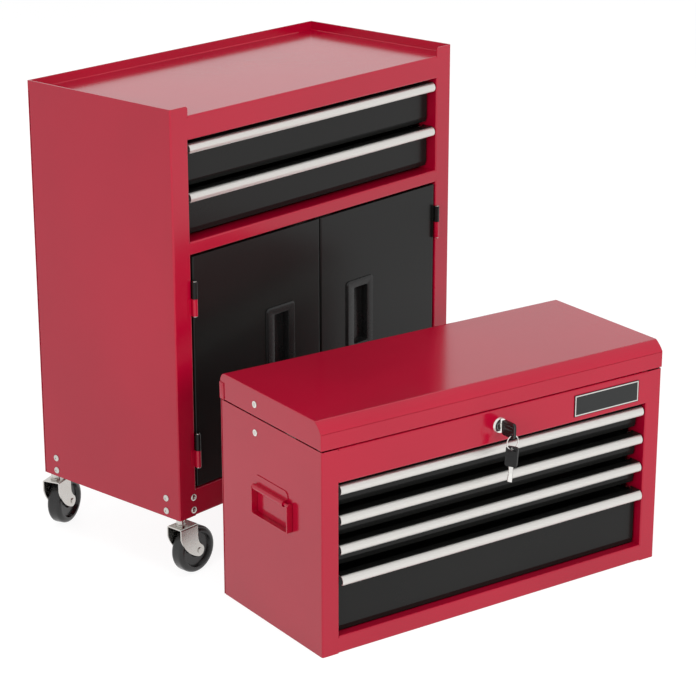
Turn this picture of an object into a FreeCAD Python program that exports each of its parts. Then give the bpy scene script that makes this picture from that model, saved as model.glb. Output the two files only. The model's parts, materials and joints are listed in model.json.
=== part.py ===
"""Steel tool trolley on four swivel casters, with a separate top box standing in front of it.

The trolley has two drawers over a two door cupboard. The top box has a hinged lid with a lock,
four drawers and two drop handles. The origin is the middle of the trolley cabinet's footprint on
the floor, X runs to the trolley's right, the trolley's front faces -Y and Z is up. Millimetres.
"""
import FreeCAD, Part
import math
import os

import Sketcher

Vector = FreeCAD.Vector

SIZES = [
    # Trolley cabinet
    ("cabinet_width", 616),
    ("cabinet_depth", 297),
    ("cabinet_height", 616),
    ("cabinet_underside", 92),
    ("cabinet_post", 34),
    ("tray_lip", 14),
    ("tray_rail", 35),
    ("mid_rail_height", 19.5),
    ("base_rail_height", 41.5),
    ("post_corner", 5),
    # Sheet metal of both cases
    ("case_gauge", 1.2),
    ("fold_radius", 2.5),
    ("post_return", 35),
    ("rear_flange", 12),
    ("rail_return", 15),
    # Drawers of both cases
    ("drawer_gauge", 1),
    ("front_recess", 17),
    ("front_gap", 3.5),
    ("stack_gap", 6),
    ("hem_height", 8),
    ("hem_setback", 2),
    ("front_end_flange", 8),
    ("runner_width", 12),
    ("runner_height", 8),
    ("runner_play", 0.2),
    ("side_wall_drop", 8),
    ("drawer_rear_gap", 6),
    ("trolley_drawer_pitch", 71),
    ("trolley_drawer_top", 6),
    # Drawer pulls
    ("pull_height", 14.2),
    ("pull_radius", 8.2),
    ("pull_gauge", 1),
    ("pull_top_setback", 5),
    ("pull_foot_setback", 2),
    ("pull_tab", 8),
    # Doors
    ("door_thickness", 18),
    ("door_top_gap", 3),
    ("door_foot_gap", 3.5),
    ("door_middle_gap", 2),
    ("hinge_length", 51),
    ("hinge_knuckle", 8.5),
    ("hinge_pin", 4),
    ("pin_play", 0.1),
    ("knuckle_stand_off", 0.2),
    ("knuckle_gap", 0.4),
    ("hinge_pin_head", 6.5),
    ("pin_head_height", 1),
    ("hinge_leaf", 8),
    ("leaf_gauge", 1.2),
    ("upper_hinge_drop", 35.6),
    ("lower_hinge_rise", 32.5),
    ("cup_from_middle", 90),
    ("cup_slot_width", 31),
    ("cup_slot_height", 92),
    ("cup_rim_width", 62),
    ("cup_rim_height", 115),
    ("cup_rim_thickness", 3),
    ("cup_depth", 12),
    ("cup_wall", 2.5),
    ("cup_rise", 179.5),
    ("cup_fit", 0.5),
    ("cup_rim_corner", 5),
    ("cup_slot_corner", 2),
    ("catch_width", 34),
    ("catch_depth", 14),
    ("catch_height", 12),
    ("catch_from_middle", 10),
    ("catch_gap", 1),
    # Casters
    ("stem_inset", 10.5),
    ("stem_diameter", 8),
    ("stem_nut", 12.5),
    ("stem_washer", 15),
    ("washer_height", 2.5),
    ("washer_slope", 1),
    ("stem_upper_nut", 11.6),
    ("upper_nut_height", 6),
    ("stem_reach", 12),
    ("stem_rivet", 12),
    ("stem_rivet_height", 2.1),
    ("fork_drop", 12),
    ("fork_length", 35),
    ("fork_lead", 13.5),
    ("fork_gauge", 2),
    ("fork_bend", 3),
    ("fork_tip", 9),
    ("fork_lead_height", 16.5),
    ("fork_lead_curve", 55),
    ("fork_tail_height", 20),
    ("fork_tail_curve", 20),
    ("wheel_diameter", 72),
    ("wheel_width", 24),
    ("wheel_trail", 24.5),
    ("wheel_side_play", 0.75),
    ("axle_diameter", 6),
    ("axle_head", 8.5),
    ("axle_head_height", 1.5),
    ("wheel_hub", 20),
    ("wheel_tyre", 9),
    ("wheel_dish", 5),
    ("dish_slope", 2.5),
    ("wheel_shoulder", 7),
    ("bracket_gauge", 2),
    ("bracket_width", 30),
    ("bracket_length", 42),
    ("bracket_height", 38),
    ("bolt_diameter", 5),
    ("bolt_head", 10.5),
    ("bolt_head_height", 2.6),
    ("bolt_edge", 1),
    ("bolt_dimple", 3),
    ("bolt_end", 3),
    ("bolt_inset", 28),
    ("lower_bolt_rise", 10),
    ("upper_bolt_rise", 30),
    ("front_left_yaw", 1),
    ("rear_left_yaw", 18),
    ("front_right_yaw", 12),
    ("rear_right_yaw", 5),
    # Top box
    ("box_x", -39.7),
    ("box_y", -427.35),
    ("box_yaw", -13.96),
    ("box_width", 603),
    ("box_depth", 256),
    ("box_rim", 302),
    ("box_post", 28),
    ("box_panel_height", 49.7),
    ("box_foot_rail", 25.6),
    ("box_drawer_pitch", 44.1),
    ("box_drawer_top", 4.3),
    ("box_open_drawer", 4),
    ("box_stack_gap", 8),
    ("box_foot_gap", 1),
    ("till_flange", 14),
    ("lid_gap", 1),
    ("lid_height", 40.5),
    ("lid_overhang", 1),
    ("lid_corner", 13.5),
    ("lid_rim", 8),
    ("lid_hinge_length", 560),
    ("lid_hinge_knuckle", 6),
    ("lid_hinge_pin", 3),
    ("lid_hinge_leaf", 18),
    ("leaf_clearance", 0.5),
    ("stay_body_y", 37),
    ("stay_body_drop", 22.4),
    ("stay_lid_y", 36),
    ("stay_lid_rise", 20),
    ("stay_width", 12),
    ("stay_gauge", 1.6),
    ("stay_gap", 0.5),
    ("rivet_diameter", 5),
    ("rivet_head", 10),
    ("rivet_crown", 6),
    ("rivet_head_height", 1.8),
    ("rivet_tail", 8),
    ("rivet_tail_height", 1),
    ("stay_spacer", 9),
    ("stay_joint_hole", 5.8),
    # Lock and key
    ("lock_drop", 24.6),
    ("lock_rim", 24),
    ("lock_face", 21),
    ("lock_rim_height", 3),
    ("lock_barrel", 19),
    ("lock_length", 20),
    ("lock_plug", 13),
    ("lock_nut", 25),
    ("lock_nut_height", 4),
    ("cam_gap", 0.4),
    ("cam_boss", 16),
    ("cam_length", 22),
    ("cam_width", 10),
    ("cam_gauge", 2),
    ("hook_from_middle", 14),
    ("hook_width", 10),
    ("hook_clearance", 1),
    ("hook_drop", 3),
    ("key_gauge", 2),
    ("key_blade", 7),
    ("key_shoulder", 4),
    ("key_end_gap", 4),
    ("key_bow_round", 7),
    ("key_bow_corner", 4),
    ("key_bow_length", 27),
    ("key_bow_height", 22),
    ("key_ring", 20),
    ("ring_wire", 1.6),
    ("ring_sag", 0.6),
    ("key_hole", 5),
    # Nameplate
    ("plate_width", 121),
    ("plate_height", 32.5),
    ("plate_thickness", 1.5),
    ("plate_from_right", 45),
    ("plate_foot_rise", 8.1),
    # Drop handles
    ("handle_plate_width", 85),
    ("handle_plate_height", 17),
    ("handle_plate_corner", 8),
    ("handle_plate_y", -2.5),
    ("handle_axis_z", 201),
    ("handle_axis_off", 4.6),
    ("handle_barrel", 8.8),
    ("handle_barrel_length", 75.5),
    ("handle_barrel_y", -4.25),
    ("barrel_web_rise", 0.6),
    ("handle_pin", 4),
    ("handle_pin_length", 19),
    ("bail_width", 92.5),
    ("bail_y", -9.75),
    ("bail_strip", 9),
    ("bail_gauge", 2.5),
    ("bail_corner", 5),
    ("bail_foot_z", 160.5),
    ("bail_wall_gap", 0.6),
]

doc = FreeCAD.newDocument("ToolTrolley")
sheet = doc.addObject("Spreadsheet::Sheet", "Dim")


class Size:
    """A length, as an expression on the sheet's cells together with its present value."""

    def __init__(self, text, value):
        self.text = text
        self.value = value

    def __add__(self, other):
        other = as_size(other)
        return Size(f"({self.text} + {other.text})", self.value + other.value)

    def __sub__(self, other):
        other = as_size(other)
        return Size(f"({self.text} - {other.text})", self.value - other.value)

    def __mul__(self, other):
        other = as_size(other)
        return Size(f"({self.text} * {other.text})", self.value * other.value)

    def __truediv__(self, other):
        other = as_size(other)
        return Size(f"({self.text} / {other.text})", self.value / other.value)

    def __radd__(self, other):
        return as_size(other) + self

    def __rsub__(self, other):
        return as_size(other) - self

    def __rmul__(self, other):
        return as_size(other) * self

    def __neg__(self):
        return Size(f"(0 - {self.text})", -self.value)


def as_size(number):
    """A plain number as a Size; a Size stays as it is."""
    return number if isinstance(number, Size) else Size(f"({number})", number)


class Sheet:
    """The driving dimensions by name."""


dim = Sheet()
for row, (alias, number) in enumerate(SIZES, start=1):
    sheet.set(f"A{row}", str(number))
    sheet.setAlias(f"A{row}", alias)
    setattr(dim, alias, Size(f"Dim.{alias}", number))
doc.recompute()

LONG = 1000
PAST = 1
FOLD_INSIDE = dim.fold_radius - dim.case_gauge
TURNS = {"x": (Vector(0, 1, 0), 90), "y": (Vector(1, 0, 0), -90), "z": (Vector(0, 0, 1), 0)}


# Solids

def box(x, y, z):
    """A block between a low and a high plane each way."""
    block = doc.addObject("Part::Box", "Block")
    for side, axis, (low, high) in (("Length", "x", x), ("Width", "y", y), ("Height", "z", z)):
        low, high = as_size(low), as_size(high)
        block.setExpression(side, (high - low).text)
        block.setExpression(f"Placement.Base.{axis}", low.text)
    return block


def mirrored(sign, low, high):
    """The pair of planes low and high out from the middle, on the side that sign gives."""
    return (low, high) if sign > 0 else (-as_size(high), -as_size(low))


def rod(axis, middle, diameter, span, tip=None):
    """A cylinder along an axis between two planes, or a cone where its tip has another diameter."""
    low, high = as_size(span[0]), as_size(span[1])
    kind = "Part::Cylinder" if tip is None else "Part::Cone"
    piece = doc.addObject(kind, "Rod")
    piece.Placement = FreeCAD.Placement(Vector(), FreeCAD.Rotation(*TURNS[axis]))
    if tip is None:
        piece.setExpression("Radius", (as_size(diameter) / 2).text)
    else:
        piece.setExpression("Radius1", (as_size(diameter) / 2).text)
        piece.setExpression("Radius2", (as_size(tip) / 2).text)
    piece.setExpression("Height", (high - low).text)
    others = [name for name in "xyz" if name != axis]
    piece.setExpression(f"Placement.Base.{axis}", low.text)
    for name, place in zip(others, middle):
        piece.setExpression(f"Placement.Base.{name}", as_size(place).text)
    return piece


def fuse(*pieces):
    """One solid from several."""
    whole = doc.addObject("Part::MultiFuse", "Whole")
    whole.Shapes = list(pieces)
    whole.Refine = True
    return whole


def shared(*pieces):
    """The room that several solids share."""
    part = doc.addObject("Part::MultiCommon", "Shared")
    part.Shapes = list(pieces)
    part.Refine = True
    return part


def cut(base, *tools):
    """The base less every tool."""
    tool = tools[0]
    if len(tools) > 1:
        tool = doc.addObject("Part::Compound", "Tools")
        tool.Links = list(tools)
    rest = doc.addObject("Part::Cut", "Rest")
    rest.Base = base
    rest.Tool = tool
    rest.Refine = True
    return rest


def sketch_in(body, plane, corners, arcs):
    """A closed outline through the corners; arcs gives the radius and side of the curved edges."""
    sketch = body.newObject("Sketcher::SketchObject", "Outline")
    origin = [feature for feature in body.Origin.OriginFeatures if feature.Role == plane][0]
    sketch.AttachmentSupport = [(origin, "")]
    sketch.MapMode = "FlatFace"
    corners = [(as_size(a), as_size(b)) for a, b in corners]
    ends = []
    for number, corner in enumerate(corners):
        start = Vector(corner[0].value, corner[1].value, 0)
        after = corners[(number + 1) % len(corners)]
        end = Vector(after[0].value, after[1].value, 0)
        if number not in arcs:
            ends.append((sketch.addGeometry(Part.LineSegment(start, end), False), 1, 2))
            continue
        radius, side = arcs[number]
        radius = as_size(radius)
        chord = end - start
        rise = math.sqrt(radius.value ** 2 - (chord.Length / 2) ** 2)
        middle = (start + end) * 0.5 + Vector(-chord.y, chord.x, 0) / chord.Length * rise * side
        angles = [math.atan2(point.y - middle.y, point.x - middle.x) for point in (start, end)]
        circle = Part.Circle(middle, Vector(0, 0, 1), radius.value)
        curve = Part.ArcOfCircle(circle, *(angles if side > 0 else angles[::-1]))
        edge = sketch.addGeometry(curve, False)
        ends.append((edge, 1, 2) if side > 0 else (edge, 2, 1))
        bound = sketch.addConstraint(Sketcher.Constraint("Radius", edge, radius.value))
        sketch.setExpression(f"Constraints[{bound}]", radius.text)
    for number, (edge, first, last) in enumerate(ends):
        following = ends[(number + 1) % len(ends)]
        sketch.addConstraint(Sketcher.Constraint("Coincident", edge, last, following[0], following[1]))
        for kind, place in zip(("DistanceX", "DistanceY"), corners[number]):
            bound = sketch.addConstraint(Sketcher.Constraint(kind, -1, 1, edge, first, place.value))
            sketch.setExpression(f"Constraints[{bound}]", place.text)
    return sketch


PLANES = {"XY_Plane": ("z", 0), "XZ_Plane": ("y", 1), "YZ_Plane": ("x", 0)}


def profile(plane, corners, span, arcs=None, rounds=None):
    """An outline drawn on a plane and padded between two planes; rounds maps a corner to a radius."""
    body = doc.addObject("PartDesign::Body", "Profile")
    sketch = sketch_in(body, plane, corners, arcs or {})
    pad = body.newObject("PartDesign::Pad", "Pad")
    pad.Profile = sketch
    low, high = as_size(span[0]), as_size(span[1])
    pad.setExpression("Length", (high - low).text)
    axis, far = PLANES[plane]
    body.setExpression(f"Placement.Base.{axis}", (high if far else low).text)
    doc.recompute()
    radii = {}
    for corner, radius in (rounds or {}).items():
        radii.setdefault(as_size(radius).text, []).append((corner, as_size(radius)))
    for members in radii.values():
        places = [[as_size(side).value for side in corners[corner]] for corner, _ in members]
        names = []
        for number, edge in enumerate(body.Tip.Shape.Edges, start=1):
            points = [vertex.Point for vertex in edge.Vertexes]
            if len(points) == 2 and flat(plane, points[0], points[1]) and near(plane, points[0], places):
                names.append(f"Edge{number}")
        base = body.Tip
        fillet = body.newObject("PartDesign::Fillet", "Bend")
        fillet.Base = (base, names)
        fillet.setExpression("Radius", members[0][1].text)
        doc.recompute()
    return body


def on_plane(plane, point):
    """The two coordinates of a point in a sketch plane."""
    keep = {"XY_Plane": (point.x, point.y), "XZ_Plane": (point.x, point.z), "YZ_Plane": (point.y, point.z)}
    return keep[plane]


def flat(plane, first, last):
    """Whether an edge runs straight through the pad, from one end to the other."""
    return math.dist(on_plane(plane, first), on_plane(plane, last)) < 1e-4


def near(plane, point, places):
    """Whether a point lies on one of the corners."""
    return any(math.dist(on_plane(plane, point), place) < 1e-3 for place in places)


def strip(plane, path, span, gauge, side, bend=None):
    """Folded sheet: the path is one face, the sheet lies to its left (side 1) or its right (-1)."""
    path = [(as_size(a), as_size(b)) for a, b in path]
    normals = []
    for (ax, ay), (bx, by) in zip(path, path[1:]):
        step = (bx.value - ax.value, by.value - ay.value)
        length = math.hypot(*step)
        normals.append((round(-step[1] / length) * side, round(step[0] / length) * side))
    other = []
    rounds = {}
    count = len(path)
    for number, (x, y) in enumerate(path):
        touching = {normals[max(number - 1, 0)], normals[min(number, count - 2)]}
        shift = [sum(normal[i] for normal in touching) for i in (0, 1)]
        other.append((x + gauge * shift[0], y + gauge * shift[1]))
        if 0 < number < count - 1:
            before, after = normals[number - 1], normals[number]
            turn = (before[0] * after[1] - before[1] * after[0]) * side
            outside = as_size(bend if bend is not None else dim.fold_radius)
            radii = (outside, outside - gauge) if turn > 0 else (outside - gauge, outside)
            rounds[number] = radii[0]
            rounds[2 * count - 1 - number] = radii[1]
    return profile(plane, path + other[::-1], span, rounds=rounds)


def turned(corners, axis, place, arcs=None):
    """An outline spun round an axis: (radius, height) for "z", (height, radius) for "x" and "y"."""
    plane, name = {"z": ("XZ_Plane", "V_Axis"), "y": ("YZ_Plane", "H_Axis"),
                   "x": ("XY_Plane", "H_Axis")}[axis]
    body = doc.addObject("PartDesign::Body", "Turned")
    sketch = sketch_in(body, plane, corners, arcs or {})
    spin = body.newObject("PartDesign::Revolution", "Spin")
    spin.Profile = sketch
    spin.ReferenceAxis = (sketch, [name])
    spin.Angle = 360
    for letter, value in zip("xyz", place):
        body.setExpression(f"Placement.Base.{letter}", as_size(value).text)
    doc.recompute()
    return body


def node(name, *pieces, frame=None):
    """A separate piece of the object, or a group of like ones, under the name of its file."""
    whole = doc.addObject("Part::Compound", name)
    whole.Label = name
    whole.Links = list(pieces)
    if frame is not None:
        whole.setExpression("Placement", frame)
    nodes.append(whole)
    return whole


def frame_at(x, y, z, turn):
    """A placement at a point, turned about Z."""
    x, y, z, turn = (as_size(value).text for value in (x, y, z, turn))
    return f"placement(vector({x}; {y}; {z}); rotation(vector(0; 0; 1); {turn}))"


nodes = []


class Case:
    """The outer faces of a sheet metal case and the opening in its front."""

    def __init__(self, width, depth, foot, top, post):
        self.side = width / 2
        self.front = -depth / 2
        self.back = depth / 2
        self.foot = foot
        self.top = top
        self.opening = self.side - post
        self.inner_side = self.side - dim.case_gauge
        self.inner_front = self.front + dim.case_gauge
        self.inner_back = self.back - dim.case_gauge
        self.return_end = self.front + dim.post_return
        self.corner_end = self.inner_back - dim.fold_radius


# Both cases

def case_side(case, sign, top):
    """A side folded into the rear flange, the front post and the post's return."""
    path = [(sign * (case.side - dim.rear_flange), case.inner_back), (sign * case.side, case.inner_back),
            (sign * case.side, case.front), (sign * case.opening, case.front),
            (sign * case.opening, case.return_end)]
    return strip("XY_Plane", path, (case.foot, top), dim.case_gauge, -sign)


def case_back(case):
    """The back, a plain sheet over the rear flanges."""
    return box((-case.side, case.side), (case.inner_back, case.back), (case.foot, case.top))


def floor_with_rail(case, rail_top, floor_low):
    """A floor whose front edge is folded into the rail below or above it."""
    wings = [box(mirrored(sign, case.opening, case.inner_side), (case.return_end, case.corner_end),
                 (floor_low, floor_low + dim.case_gauge)) for sign in (-1, 1)]
    floor_top = floor_low + dim.case_gauge
    if rail_top is None:
        path = [(case.inner_back, floor_top), (case.front, floor_top), (case.front, case.foot),
                (case.front + dim.rail_return, case.foot)]
        side = 1
    else:
        path = [(case.inner_back, floor_low), (case.front, floor_low), (case.front, rail_top),
                (case.front + dim.rail_return, rail_top)]
        side = -1
    middle = strip("YZ_Plane", path, (-case.opening, case.opening), dim.case_gauge, side)
    return fuse(middle, *wings)


def runner(case, sign, front_top):
    """The channel that a drawer's side flange slides in."""
    wall_top = front_top - dim.side_wall_drop
    low = wall_top - dim.drawer_gauge - dim.runner_play - dim.case_gauge
    high = low + dim.runner_height
    inner = case.opening - dim.runner_width + dim.drawer_gauge
    path = [(sign * inner, high), (sign * case.opening, high), (sign * case.opening, low),
            (sign * inner, low)]
    start = case.front + dim.front_recess + dim.front_end_flange + dim.drawer_gauge
    return strip("XZ_Plane", path, (start, case.inner_back), dim.case_gauge, -sign)


def drawer_pan(case, low, high, shift=0):
    """A drawer folded from sheet: its front with a tilted hem, and the open pan behind it."""
    gauge = dim.drawer_gauge
    face = case.front + dim.front_recess - shift
    hem_back = face + dim.hem_setback
    pan_front = hem_back
    pan_back = case.inner_back - dim.drawer_rear_gap - shift
    wall_top = high - dim.side_wall_drop
    wall = case.opening - dim.runner_width - dim.runner_play
    flange = case.opening - dim.fold_radius - dim.runner_play
    front_end = case.opening - dim.front_gap
    lip_front = case.front + dim.pull_top_setback - shift
    lip_low = high - gauge
    crease = low + dim.hem_height
    outline = [(lip_front, lip_low), (lip_front, high), (face + gauge, high), (face + gauge, crease),
               (hem_back + gauge, low + gauge), (hem_back + dim.front_end_flange, low + gauge),
               (hem_back + dim.front_end_flange, low), (hem_back, low), (face, crease),
               (face, lip_low)]
    front = profile("YZ_Plane", outline, (-front_end, front_end))
    ends = [box(mirrored(sign, front_end - gauge, front_end), (face, face + dim.front_end_flange),
                (crease, high)) for sign in (-1, 1)]
    path = [(flange, wall_top - gauge), (wall, wall_top - gauge), (wall, low), (-wall, low),
            (-wall, wall_top - gauge), (-flange, wall_top - gauge)]
    pan = strip("XZ_Plane", path, (pan_front, pan_back), gauge, -1, 2 * gauge)
    walls = [box((-wall, wall), (pan_front, pan_front + gauge), (low + gauge, wall_top)),
             box((-wall, wall), (pan_back - gauge, pan_back), (low, wall_top))]
    return fuse(front, *ends, pan, *walls)


def drawer_pull(case, high, shift=0):
    """The pull along a drawer's upper edge: a curved shell with a tab under the drawer's lip."""
    front = case.front - shift
    half = case.opening - dim.front_gap
    shell_top = high - dim.drawer_gauge
    low = high - dim.pull_height
    gauge = dim.pull_gauge
    top = front + dim.pull_top_setback
    foot = front + dim.pull_foot_setback
    outline = [(top, shell_top), (foot, low), (foot + gauge, low), (top + gauge, shell_top - gauge),
               (top + dim.pull_tab, shell_top - gauge), (top + dim.pull_tab, shell_top)]
    arcs = {0: (dim.pull_radius, 1), 2: (dim.pull_radius - gauge, -1)}
    shell = profile("YZ_Plane", outline, (-half, half), arcs)
    rim = rod("x", (foot + gauge, low + gauge), 2 * gauge, (-half, half))
    return fuse(shell, rim)


# Trolley cabinet

trolley = Case(dim.cabinet_width, dim.cabinet_depth, dim.cabinet_underside,
               dim.cabinet_underside + dim.cabinet_height, dim.cabinet_post)
tray_floor = trolley.top - dim.tray_lip
tray_under = tray_floor - dim.case_gauge
tray_rail_foot = tray_floor - dim.tray_rail
trolley_tops = [tray_rail_foot - dim.trolley_drawer_top - dim.trolley_drawer_pitch * step
                for step in (0, 1)]
mid_rail_top = trolley_tops[-1] - dim.trolley_drawer_pitch
mid_rail_foot = mid_rail_top - dim.mid_rail_height
base_top = trolley.foot + dim.base_rail_height


def bolt_places(case):
    """Axis, sign and the two other coordinates of every bolt of the caster brackets."""
    heights = (case.foot + dim.lower_bolt_rise, case.foot + dim.upper_bolt_rise)
    places = []
    for side in (-1, 1):
        for end in (-1, 1):
            for rise in heights:
                places.append(("x", side, (end * (case.back - dim.bolt_inset), rise)))
                places.append(("y", end, (side * (case.side - dim.bolt_inset), rise)))
    return places


def bolt_span(case, axis, sign, low, high):
    """Planes measured outwards from the case's face on one side."""
    face = case.side if axis == "x" else case.back
    return mirrored(sign, face + low, face + high)


def bolt_holes(case, axis, sign):
    """The holes that the bolts pass through on one side of the case."""
    reach = dim.case_gauge * 2 + dim.bracket_gauge + PAST
    return [rod(axis, middle, dim.bolt_diameter + dim.pin_play, bolt_span(case, axis, sign, -reach, PAST))
            for kind, way, middle in bolt_places(case) if (kind, way) == (axis, sign)]


def trolley_side(sign):
    """A side with its lip: below the tray a full channel, above it only the side and the post."""
    lower = case_side(trolley, sign, tray_under)
    path = [(sign * trolley.side, trolley.inner_back), (sign * trolley.side, trolley.front),
            (sign * trolley.opening, trolley.front)]
    lip = strip("XY_Plane", path, (tray_under, trolley.top), dim.case_gauge, -sign)
    whole = fuse(lower, lip)
    reach = trolley.opening + dim.post_corner
    block = box(mirrored(sign, trolley.opening - PAST, reach),
                (trolley.front - PAST, trolley.inner_front + PAST),
                (trolley.top - dim.post_corner, trolley.top + PAST))
    disc = rod("y", (sign * reach, trolley.top - dim.post_corner), 2 * dim.post_corner,
               (trolley.front - 2 * PAST, trolley.inner_front + 2 * PAST))
    corner = cut(block, disc)
    return cut(whole, corner, *bolt_holes(trolley, "x", sign), *bolt_holes(trolley, "y", -1))


for sign, name in ((-1, "trolley_side_left"), (1, "trolley_side_right")):
    node(name, trolley_side(sign))

node("trolley_back", cut(case_back(trolley), *bolt_holes(trolley, "y", 1)))

tray_back = trolley.inner_back - dim.case_gauge
tray_side = trolley.inner_side - dim.case_gauge
tray_path = [(trolley.front + dim.rail_return, tray_rail_foot), (trolley.front, tray_rail_foot),
             (trolley.front, tray_floor), (tray_back, tray_floor), (tray_back, trolley.top)]
tray_parts = [strip("YZ_Plane", tray_path, (-trolley.opening, trolley.opening), dim.case_gauge, -1)]
tray_start = trolley.inner_front + FOLD_INSIDE
for sign in (-1, 1):
    wing = [(sign * trolley.opening, tray_floor), (sign * tray_side, tray_floor),
            (sign * tray_side, trolley.top)]
    tray_parts.append(strip("XZ_Plane", wing, (tray_start, trolley.inner_back), dim.case_gauge, -sign))
    tray_parts.append(box(mirrored(sign, trolley.opening, trolley.inner_side),
                          (tray_back, trolley.inner_back), (tray_under, trolley.top)))
node("trolley_top_tray", fuse(*tray_parts))

mid_path = [(trolley.front + 2 * dim.rail_return, mid_rail_top), (trolley.front, mid_rail_top),
            (trolley.front, mid_rail_foot), (trolley.front + 2 * dim.rail_return, mid_rail_foot)]
node("trolley_mid_rail",
     strip("YZ_Plane", mid_path, (-trolley.opening, trolley.opening), dim.case_gauge, 1))

node("trolley_base", floor_with_rail(trolley, None, base_top - dim.case_gauge))

node("trolley_runners", *[runner(trolley, sign, top) for top in trolley_tops for sign in (-1, 1)])

for name, top in zip(("upper", "lower"), trolley_tops):
    low = top - dim.trolley_drawer_pitch + dim.stack_gap
    node(f"trolley_drawer_{name}", drawer_pan(trolley, low, top))
    node(f"trolley_drawer_{name}_pull", drawer_pull(trolley, top))


# Doors

axis_x = trolley.opening - dim.front_gap / 2
axis_y = trolley.front - dim.hinge_knuckle / 2 - dim.knuckle_stand_off
leaf_front = trolley.front - dim.leaf_gauge
door_top = mid_rail_foot - dim.door_top_gap
door_foot = base_top + dim.door_foot_gap
upper_hinge_top = door_top - dim.upper_hinge_drop
lower_hinge_top = door_foot + dim.lower_hinge_rise + dim.hinge_length
knuckle_bore = dim.hinge_pin + dim.pin_play


def knuckle(x, y, span):
    """A rolled knuckle standing on end."""
    return rod("z", (x, y), dim.hinge_knuckle, span)


def frame_leaf(sign, top):
    """The leaf on the post, with the lower knuckle."""
    span = (top - dim.hinge_length, top - dim.hinge_length / 2)
    plate = box(mirrored(sign, axis_x, trolley.opening + dim.hinge_leaf),
                (leaf_front, trolley.front), span)
    bore = rod("z", (sign * axis_x, axis_y), knuckle_bore, (span[0] - PAST, span[1] + PAST))
    return cut(fuse(plate, knuckle(sign * axis_x, axis_y, span)), bore)


def door_leaf(sign, top):
    """The leaf on the door, with the upper knuckle."""
    middle = top - dim.hinge_length / 2
    span = (middle + dim.knuckle_gap, top)
    inner = axis_x - dim.hinge_leaf
    clear = axis_x - dim.hinge_knuckle / 2 - dim.knuckle_gap
    plate = box(mirrored(sign, inner, axis_x), (leaf_front, trolley.front), span)
    lower = box(mirrored(sign, inner, clear), (leaf_front, trolley.front),
                (top - dim.hinge_length, top))
    bore = rod("z", (sign * axis_x, axis_y), knuckle_bore, (span[0] - PAST, span[1] + PAST))
    return cut(fuse(plate, lower, knuckle(sign * axis_x, axis_y, span)), bore)


def hinge_pin(sign, top):
    """The pin through both knuckles, with a head at each end."""
    middle = (sign * axis_x, axis_y)
    low, high = top - dim.hinge_length - dim.knuckle_stand_off, top + dim.knuckle_stand_off
    ends = [rod("z", middle, dim.hinge_pin_head, (low - dim.pin_head_height, low)),
            rod("z", middle, dim.hinge_pin_head, (high, high + dim.pin_head_height))]
    return fuse(rod("z", middle, dim.hinge_pin, (low, high)), *ends)


hinge_spots = [(sign, top) for sign in (-1, 1) for top in (upper_hinge_top, lower_hinge_top)]
node("door_hinge_frame_leaves", *[frame_leaf(*spot) for spot in hinge_spots])
node("door_hinge_pins", *[hinge_pin(*spot) for spot in hinge_spots])

cup_middle_z = door_foot + dim.cup_rise


def cup_block(sign, width, height, depth, corner):
    """An upright block with rounded corners, centred on a door's pull."""
    x = sign * dim.cup_from_middle
    half = width / 2
    corners = [(x - half, cup_middle_z - height / 2), (x + half, cup_middle_z - height / 2),
               (x + half, cup_middle_z + height / 2), (x - half, cup_middle_z + height / 2)]
    return profile("XZ_Plane", corners, depth, rounds={number: corner for number in range(4)})


def door_panel(sign):
    """A door: a shallow pan open to the back, cut out for its pull."""
    near_edge = dim.door_middle_gap / 2
    far_edge = trolley.opening - dim.front_gap
    path = [(near_edge, trolley.front + dim.door_thickness), (near_edge, trolley.front),
            (far_edge, trolley.front), (far_edge, trolley.front + dim.door_thickness)]
    path = [(sign * x, y) for x, y in path]
    shell = strip("XY_Plane", path, (door_foot, door_top), dim.case_gauge, sign)
    rims = [box(mirrored(sign, near_edge, far_edge),
                (trolley.front + dim.case_gauge, trolley.front + dim.door_thickness), span)
            for span in ((door_foot, door_foot + dim.case_gauge),
                         (door_top - dim.case_gauge, door_top))]
    window = cup_block(sign, dim.cup_slot_width + 2 * (dim.cup_wall + dim.cup_fit),
                       dim.cup_slot_height + 2 * (dim.cup_wall + dim.cup_fit),
                       (trolley.front - PAST, trolley.front + dim.case_gauge + PAST), dim.cup_wall)
    return cut(fuse(shell, *rims), window)


def door_cup(sign):
    """The moulded pull: a raised rim with a slot that the fingers reach into."""
    rim_front = trolley.front - dim.cup_rim_thickness
    pocket_back = rim_front + dim.cup_depth
    rim = cup_block(sign, dim.cup_rim_width, dim.cup_rim_height, (rim_front, trolley.front),
                    dim.cup_rim_corner)
    cup = cup_block(sign, dim.cup_slot_width + 2 * dim.cup_wall, dim.cup_slot_height + 2 * dim.cup_wall,
                    (trolley.front, pocket_back + dim.cup_wall), dim.cup_wall)
    slot = cup_block(sign, dim.cup_slot_width, dim.cup_slot_height, (rim_front - PAST, pocket_back),
                     dim.cup_slot_corner)
    return cut(fuse(rim, cup), slot)


for sign, name in ((-1, "left"), (1, "right")):
    node(f"door_{name}", door_panel(sign))
    node(f"door_{name}_pull", door_cup(sign))
    node(f"door_{name}_hinge_leaves", *[door_leaf(sign, top) for way, top in hinge_spots if way == sign])

catch_front = trolley.front + dim.door_thickness + dim.catch_gap
node("door_catches", *[
    box(mirrored(sign, dim.catch_from_middle, dim.catch_from_middle + dim.catch_width),
        (catch_front, catch_front + dim.catch_depth),
        (mid_rail_foot - dim.catch_height, mid_rail_foot)) for sign in (-1, 1)])


# Casters

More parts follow.
